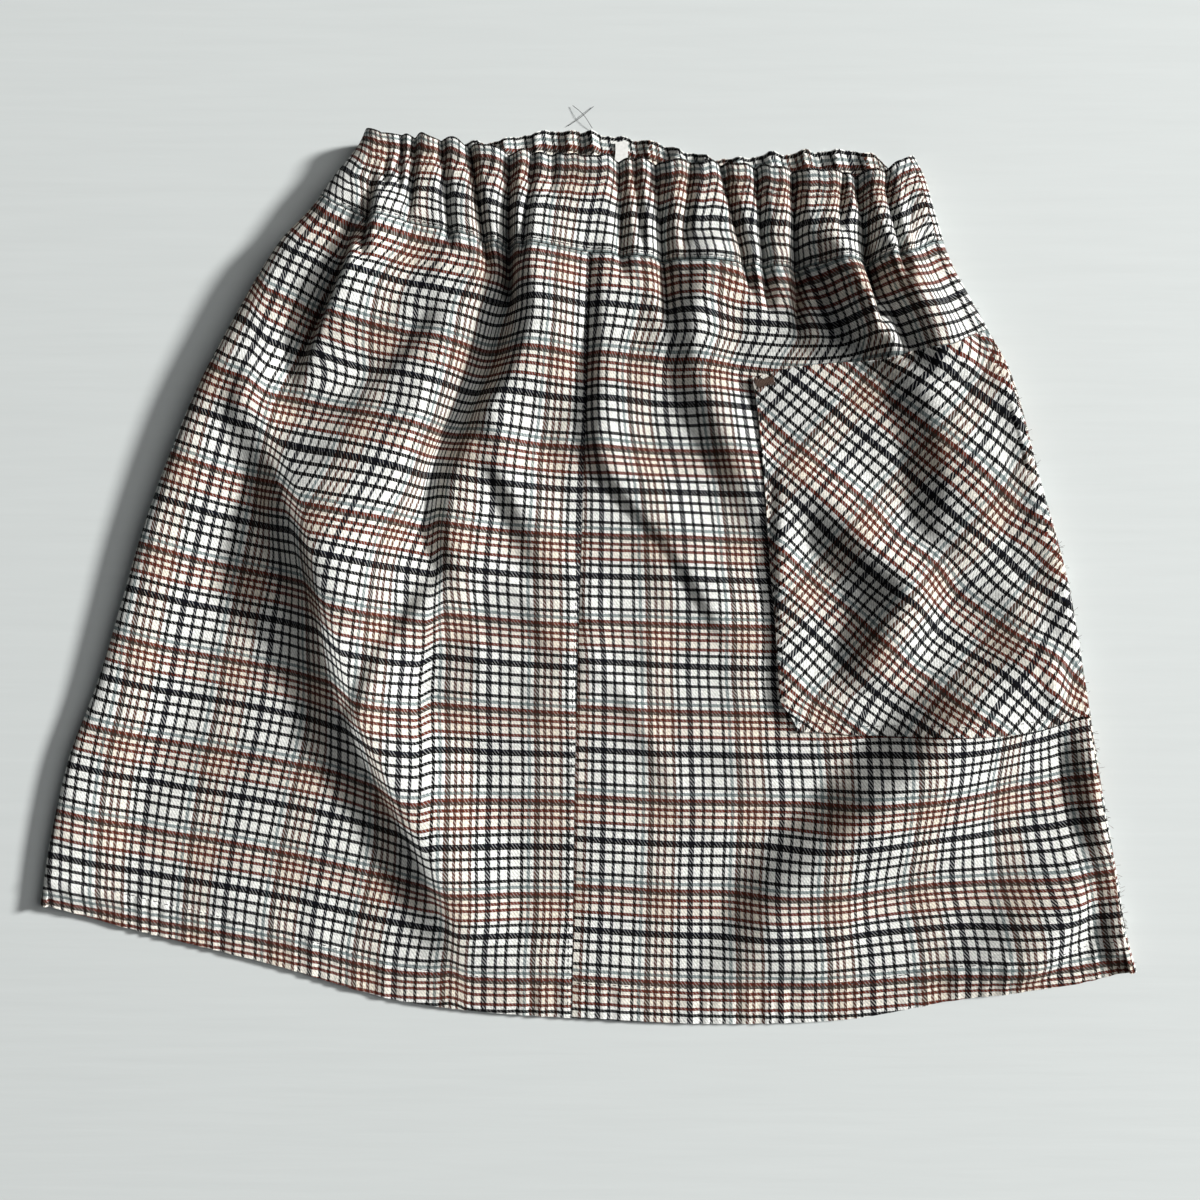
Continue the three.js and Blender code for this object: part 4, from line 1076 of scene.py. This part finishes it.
def pocket_spot(a, w):
    """Share along the front and share of the way down, for w from the pocket's top edge (0) to its bottom
    (1). Its lower left corner is rounded."""
    v = mix(pocket_top(a), pocket_bottom(a), w)
    near_left = np.clip(1 - (a - POCKET_LEFT) / 0.12, 0, 1)
    return a + 0.03 * near_left * smooth((w - 0.9) / 0.1), v


def weave_pocket(a, v, points):
    """The plaid turned by the bias angle, and followed over the pocket's surface."""
    p, q = run_along(points), (v - POCKET_FROM) * DROP
    c, s = math.cos(BIAS_TURN), math.sin(BIAS_TURN)
    along, down = slip(SLIP_POCKET, points[..., 0], points[..., 1])
    s_place = (p * c + q * s) / BIAS_STRETCH["along"] + along
    t_place = (q * c - p * s) / BIAS_STRETCH["down"] + down
    return in_repeats("pocket", s_place, t_place)


def pocket_off(a, v):
    """How far the pocket's inner side is above the front: the gap, and more at the mouth."""
    return POCKET_GAP + MOUTH_OFF * (1 - smooth((v - pocket_top(a)) / MOUTH_REACH))


pa, pw = np.r_[np.linspace(POCKET_LEFT, 1, 111), np.linspace(1, 2, 11)[1:]], np.linspace(0, 1, 141)
A, V = pocket_spot(*np.meshgrid(pa, pw, indexing="ij"))
pocket = shell(
    "pocket_cloth", seamed(right_front, -1), pa, pw, weave_pocket, [bias],
    outer=pocket_off(A, V) + WALL, inner=pocket_off(A, V), place=pocket_spot)

# %% the label
LABEL = {"from": 0.5282, "to": 0.5526, "top": 0.064, "bottom": 0.455}
RIBBON_RIB = 0.00045  # metres from one rib of the ribbon to the next


def ribbon_material():
    """White ribbon with fine ribs: a sine wave down its length raises them and paints light and shade on them."""
    material, tree, shader = new_material("woven ribbon")
    point = node(tree, "ShaderNodeTexCoord").outputs["Object"]
    split = node(tree, "ShaderNodeSeparateXYZ", {0: point})
    ribs = maths(tree, "SINE", maths(tree, "MULTIPLY", split.outputs["Y"], 2 * math.pi / RIBBON_RIB))
    grain = node(tree, "ShaderNodeTexNoise", {"Vector": point, "Scale": 900.0})
    # painted light and shade: the rib sine makes the white lighter on each rib and darker between ribs; the grain
    # adds uneven tone
    tone = maths(tree, "ADD", maths(tree, "MULTIPLY", ribs, 0.25), grain.outputs["Fac"])
    white = mixed(tree, tone, srgb(214, 213, 208), srgb(250, 249, 244))
    raised = node(tree, "ShaderNodeBump", {"Height": ribs, "Strength": 0.4, "Distance": 0.0001})
    tree.links.new(white, shader.inputs["Base Color"])
    tree.links.new(raised.outputs["Normal"], shader.inputs["Normal"])
    shader.inputs["Roughness"].default_value = 0.6
    return material


ribbon = ribbon_material()
LABEL_WALL = 0.35
label_off = SOLID_WALL + SEAM_GAP  # it lies on the inner side of the back's waistband
label = shell(
    "size_label_ribbon", seamed(back_band, 1), np.linspace(LABEL["from"], LABEL["to"], 31),
    np.linspace(LABEL["top"], LABEL["bottom"], 41), weave_back_band, [ribbon],
    outer=-label_off, inner=-label_off - LABEL_WALL)

# %% [markdown]
# ## Sewing threads
# A stitch is a short tube that dips into the cloth at both ends. The hem, the seams, the pocket's edges and
# the elastic's channel are sewn. A brown thread binds the pocket's upper corner in a zigzag, and short brown
# fibres stand out from the side seam on the right. Two loose ends lie on the floor above the frill.

# %% tubes along many paths at once
def tubes(name, paths, radius, material, sides=5):
    """One mesh of many round tubes with as many points each: paths is an array (tube, point, 3). Round each
    point lies a ring of corners, across the path's direction there, and a centre point closes each end."""
    ahead = np.gradient(paths, axis=1)
    ahead /= np.linalg.norm(ahead, axis=-1, keepdims=True)
    side = np.cross(ahead, [0.0, 0.0, 1.0])
    side /= np.linalg.norm(side, axis=-1, keepdims=True) + 1e-9
    up = np.cross(side, ahead)
    turn = np.arange(sides) * 2 * np.pi / sides
    ring = side[:, :, None] * np.cos(turn)[:, None] + up[:, :, None] * np.sin(turn)[:, None]
    k, n = paths.shape[:2]
    rings = (paths[:, :, None] + radius * ring).reshape(k, n * sides, 3)
    points = np.concatenate([rings, paths[:, :1], paths[:, -1:]], axis=1)
    at = np.arange(n * sides).reshape(n, sides)
    nxt = np.roll(at, -1, axis=1)
    a, b, c, d = at[:-1].ravel(), at[1:].ravel(), nxt[1:].ravel(), nxt[:-1].ravel()
    walls = np.concatenate([np.stack([a, c, b], -1), np.stack([a, d, c], -1)])
    first = np.stack([np.full(sides, n * sides), nxt[0], at[0]], -1)
    last = np.stack([np.full(sides, n * sides + 1), at[-1], nxt[-1]], -1)
    faces = np.concatenate([walls, first, last])
    every = faces[None] + (np.arange(k) * (n * sides + 2))[:, None, None]
    points = points.reshape(-1, 3)
    return make_mesh(name, points, every.reshape(-1, 3), points[:, :2] / REPEAT, [material])


def stitches(sheet, a, v, off, count, fill=0.62, sink=0.3, rise=0.12):
    """Stitches along a line on a sheet: a and v give a spot for each place from 0 to 1 along it. A stitch
    fills a share of its step, dips in at both ends and stands up between them."""
    place = (np.arange(count)[:, None] + 0.5 + fill * np.linspace(-0.5, 0.5, 6)) / count
    sa, sv = a(place), v(place)
    bow = np.array([-sink, rise * 0.6, rise, rise, rise * 0.6, -sink])
    return sheet(sa, sv) + outward(sheet, sa, sv) * (off(sa, sv) + bow)[..., None]


def thread_material(name, colour):
    """Twisted thread: an uneven tone and a fine relief, from one noise."""
    material, tree, shader = new_material(name)
    point = node(tree, "ShaderNodeTexCoord").outputs["Object"]
    twist = node(tree, "ShaderNodeTexNoise", {"Vector": point, "Scale": 2500.0, "Detail": 1.0})
    fac = twist.outputs["Fac"]
    pale = tuple(min(1.0, 2.2 * c + 0.01) for c in colour[:3]) + (1.0,)
    tree.links.new(mixed(tree, fac, colour, pale), shader.inputs["Base Color"])
    relief = node(tree, "ShaderNodeBump", {"Height": fac, "Strength": 0.5, "Distance": 0.0001})
    tree.links.new(relief.outputs["Normal"], shader.inputs["Normal"])
    shader.inputs["Roughness"].default_value = 0.8
    return material


dark_thread = thread_material("dark sewing thread", srgb(16, 16, 20))
brown_thread = thread_material("brown binding thread", srgb(70, 50, 38))
print("tubes are ready")

# %% [markdown]
# Each row of stitches follows a line over a sheet. Most are straight in the sheet's own terms: from one spot
# (share along, share down) to another.

# %% rows of stitches
def on_cloth(a, v):
    """No distance from the sheet."""
    return 0.0 * a


def on_pocket(a, v):
    """The pocket's outer side."""
    return pocket_off(a, v) + WALL


low_left, low_right, band_sheet = seamed(left_front, -1), seamed(right_front, -1), seamed(front_band, 1)
HEM_ROW = 1 - 14.2 / DROP  # the hem is sewn this many millimetres above its edge
CHANNEL_ROW = 1 - CHANNEL_HEIGHT / BAND_HEIGHT
WAIST_ROW = 0.965  # share of the way down the waistband, just above the waist seam
MIDDLE_ROW = 0.992  # share of the left front's width, just beside the seam
SIDE_PART = 0.55  # share of the pocket's row that runs down its side


def pocket_side(t):
    """A line down the pocket, 1.5 mm in from its left edge, and along its bottom edge, for t from 0 to 1."""
    w = np.clip(t / SIDE_PART, 0, 1) * 0.965 + 0.01
    a = POCKET_LEFT + 0.008 + np.clip((t - SIDE_PART) / (1 - SIDE_PART), 0, 1) * (0.985 - POCKET_LEFT)
    return pocket_spot(a, w)


def straight(sheet, start, end, count):
    """A straight row of stitches from one spot of a sheet to another."""
    return stitches(
        sheet, lambda t: mix(start[0], end[0], t), lambda t: mix(start[1], end[1], t), on_cloth, count)


rows_of_stitches = np.concatenate([
    straight(low_left, (0.01, HEM_ROW), (0.995, HEM_ROW), 90),
    straight(low_right, (0.005, HEM_ROW), (0.99, HEM_ROW), 90),
    straight(band_sheet, (0.01, CHANNEL_ROW), (0.99, CHANNEL_ROW), 110),
    stitches(low_right, lambda t: pocket_side(t)[0], lambda t: pocket_side(t)[1], on_pocket, 120),
    straight(low_left, (MIDDLE_ROW, 0.01), (MIDDLE_ROW, 0.985), 120),
    straight(band_sheet, (0.01, WAIST_ROW), (0.99, WAIST_ROW), 110),
])
stitching = tubes("stitching", rows_of_stitches, 0.17, dark_thread)


# %% bound edges and loose ends
def zigzag(sheet, a, v, off, count, points, step):
    """A binding thread that goes to and fro over a strip: its spot is the line's, plus a triangle wave in the
    direction of step."""
    place = np.linspace(0, 1, count * points).reshape(1, -1)
    wave = 2 * np.abs(place * count - np.floor(place * count + 0.5))
    sa, sv = a(place) + step[0] * wave, v(place) + step[1] * wave
    return sheet(sa, sv) + outward(sheet, sa, sv) * (off(sa, sv) + 0.12)[..., None]


CORNER_FROM, CORNER_TO = POCKET_LEFT + 0.004, POCKET_LEFT + 0.052


def corner_along(t):
    """Share along the front for a place in the binding, from 0 to 1."""
    return mix(CORNER_FROM, CORNER_TO, t)


def corner_down(t):
    """Share of the way down, just under the pocket's top edge."""
    return pocket_top(corner_along(t)) + 0.003


top_corner = zigzag(low_right, corner_along, corner_down, on_pocket, 12, 6, (0.004, 0.013))
binding = tubes("binding_at_pocket_corner", top_corner, 0.16, brown_thread)

hairs = np.random.default_rng(12)


def hair_paths(count, sheet, a, v, off, length):
    """Short bent fibres that stick out sideways from an edge."""
    spots = hairs.uniform(0, 1, (count, 1))
    base = sheet(a(spots), v(spots)) + outward(sheet, a(spots), v(spots)) * off
    ranges = ((0.4, 1), (-0.7, 0.7), (0, 0.5))
    aim = np.stack([hairs.uniform(low, high, count) for low, high in ranges], -1)
    bend = hairs.uniform(-0.6, 0.6, (count, 3)) * [1, 1, 0.3]
    t = np.linspace(-0.2, 1, 6)[None, :, None]
    reach = hairs.uniform(0.5, 1, (count, 1, 1)) * length
    return base + reach * (aim[:, None] * t + bend[:, None] * t * t)


whole_back = seamed(back, -1)
side_hairs = hair_paths(
    150, whole_back, lambda t: mix(-0.98, -0.9, t), lambda t: mix(0.02, 0.99, t), 0.05, 2.0)


def loose_end(start, end, low, rise):
    """A thread that lies from start to end (x, y) in an arch, with a slow wave in x."""
    t = np.linspace(0, 1, 24)
    x = mix(start[0], end[0], t) + 0.6 * np.sin(4 * t)
    return np.stack([x, mix(start[1], end[1], t), low + rise * np.sin(3.1 * t)], -1)


crossed = np.stack([
    loose_end((-8.5, 183.5), (2.5, 191.5), 0.4, 0.5), loose_end((-6.5, 191.8), (2.0, 182.5), 0.6, 1.0)])
loose_ends = tubes("loose_thread_ends", crossed, 0.11, dark_thread)
fray = tubes("frayed_side_seam", side_hairs, 0.06, brown_thread, sides=4)
for piece in (stitching, binding, loose_ends, fray):
    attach(piece, "root")

# %% which solid each piece stands for
PIECES = {
    "front_left": (front_left, "plaid"), "front_right": (front_right, "plaid"), "back": (back_cloth, "plaid"),
    "waistband_front": (band_front, "plaid"), "waistband_back": (band_back, "plaid"),
    "pocket": (pocket, "plaid_bias"), "size_label": (label, "ribbon"),
}
for solid, (piece, slot) in PIECES.items():
    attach(piece, "root")
    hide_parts(solid)

# %% [markdown]

# %% [markdown]
# ## Floor, light and camera
# The floor is a plain pale board. One soft lamp stands low on the right, so that each fold is light on its
# right and dark on its left. A wide, weak one higher up and a pale sky fill the shade. The camera looks
# straight down.

# %% floor
def board_material():
    """Pale paint with long faint brush strokes that run across the board at a slant."""
    material, tree, shader = new_material("pale board")
    point = node(tree, "ShaderNodeTexCoord").outputs["Object"]
    strokes = node(tree, "ShaderNodeMapping", {
        "Vector": point, "Rotation": (0, 0, -0.45), "Scale": (14, 220, 1)})
    paint = node(tree, "ShaderNodeTexNoise", {"Vector": strokes.outputs[0], "Scale": 1.0, "Detail": 3.0})
    pale = mixed(tree, paint.outputs["Fac"], srgb(203, 207, 205), srgb(209, 213, 211))
    relief = node(tree, "ShaderNodeBump", {
        "Height": paint.outputs["Fac"], "Strength": 0.25, "Distance": 0.0004})
    tree.links.new(pale, shader.inputs["Base Color"])
    tree.links.new(relief.outputs["Normal"], shader.inputs["Normal"])
    shader.inputs["Roughness"].default_value = 0.85
    return material


FLOOR_HALF = 3  # metres
FLOOR_UNDER = 0.0002  # and this far under the skirt
floor_mesh = bpy.data.meshes.new("floor")
corners = ((-1, -1), (1, -1), (1, 1), (-1, 1))
floor_mesh.from_pydata([(FLOOR_HALF * x, FLOOR_HALF * y, 0) for x, y in corners], [], [(0, 1, 2, 3)])
floor = bpy.data.objects.new("floor", floor_mesh)
bpy.context.collection.objects.link(floor)
floor.location.z = -FLOOR_UNDER
floor_mesh.materials.append(board_material())

# %% lamps
LAMP_DISTANCE = 8
LAMP_SIDE = (0.96, 0.27)  # the lamps' direction over the floor: right, and a little towards the waist


def make_lamp(name, size, energy, rise):
    """A round lamp, so many degrees above the floor, turned to the skirt."""
    data = bpy.data.lights.new(name, "AREA")
    data.shape, data.size, data.energy = "DISK", size, energy
    lamp = bpy.data.objects.new(name, data)
    bpy.context.collection.objects.link(lamp)
    towards = Vector((*LAMP_SIDE, math.tan(math.radians(rise)))).normalized()
    lamp.location = towards * LAMP_DISTANCE
    lamp.rotation_euler = towards.to_track_quat("Z", "Y").to_euler()


make_lamp("low lamp", 1.15, 1130, 27)
make_lamp("high lamp", 3.8, 190, 48)

world = bpy.data.worlds.new("pale sky")
bpy.context.scene.world = world
world.use_nodes = True
world.node_tree.nodes["Background"].inputs["Color"].default_value = srgb(225, 230, 235)
world.node_tree.nodes["Background"].inputs["Strength"].default_value = 0.09

# %% camera
camera_data = bpy.data.cameras.new("camera")
camera = bpy.data.objects.new("camera", camera_data)
bpy.context.collection.objects.link(camera)
camera.location = (4.6 * MM, -9.48 * MM, 490 * MM)
camera_data.sensor_width, camera_data.lens = 36, 35.85
camera_data.clip_start, camera_data.clip_end = 0.01, 10
bpy.context.scene.camera = camera

# %% plain tones
bpy.context.scene.view_settings.view_transform = "Standard"
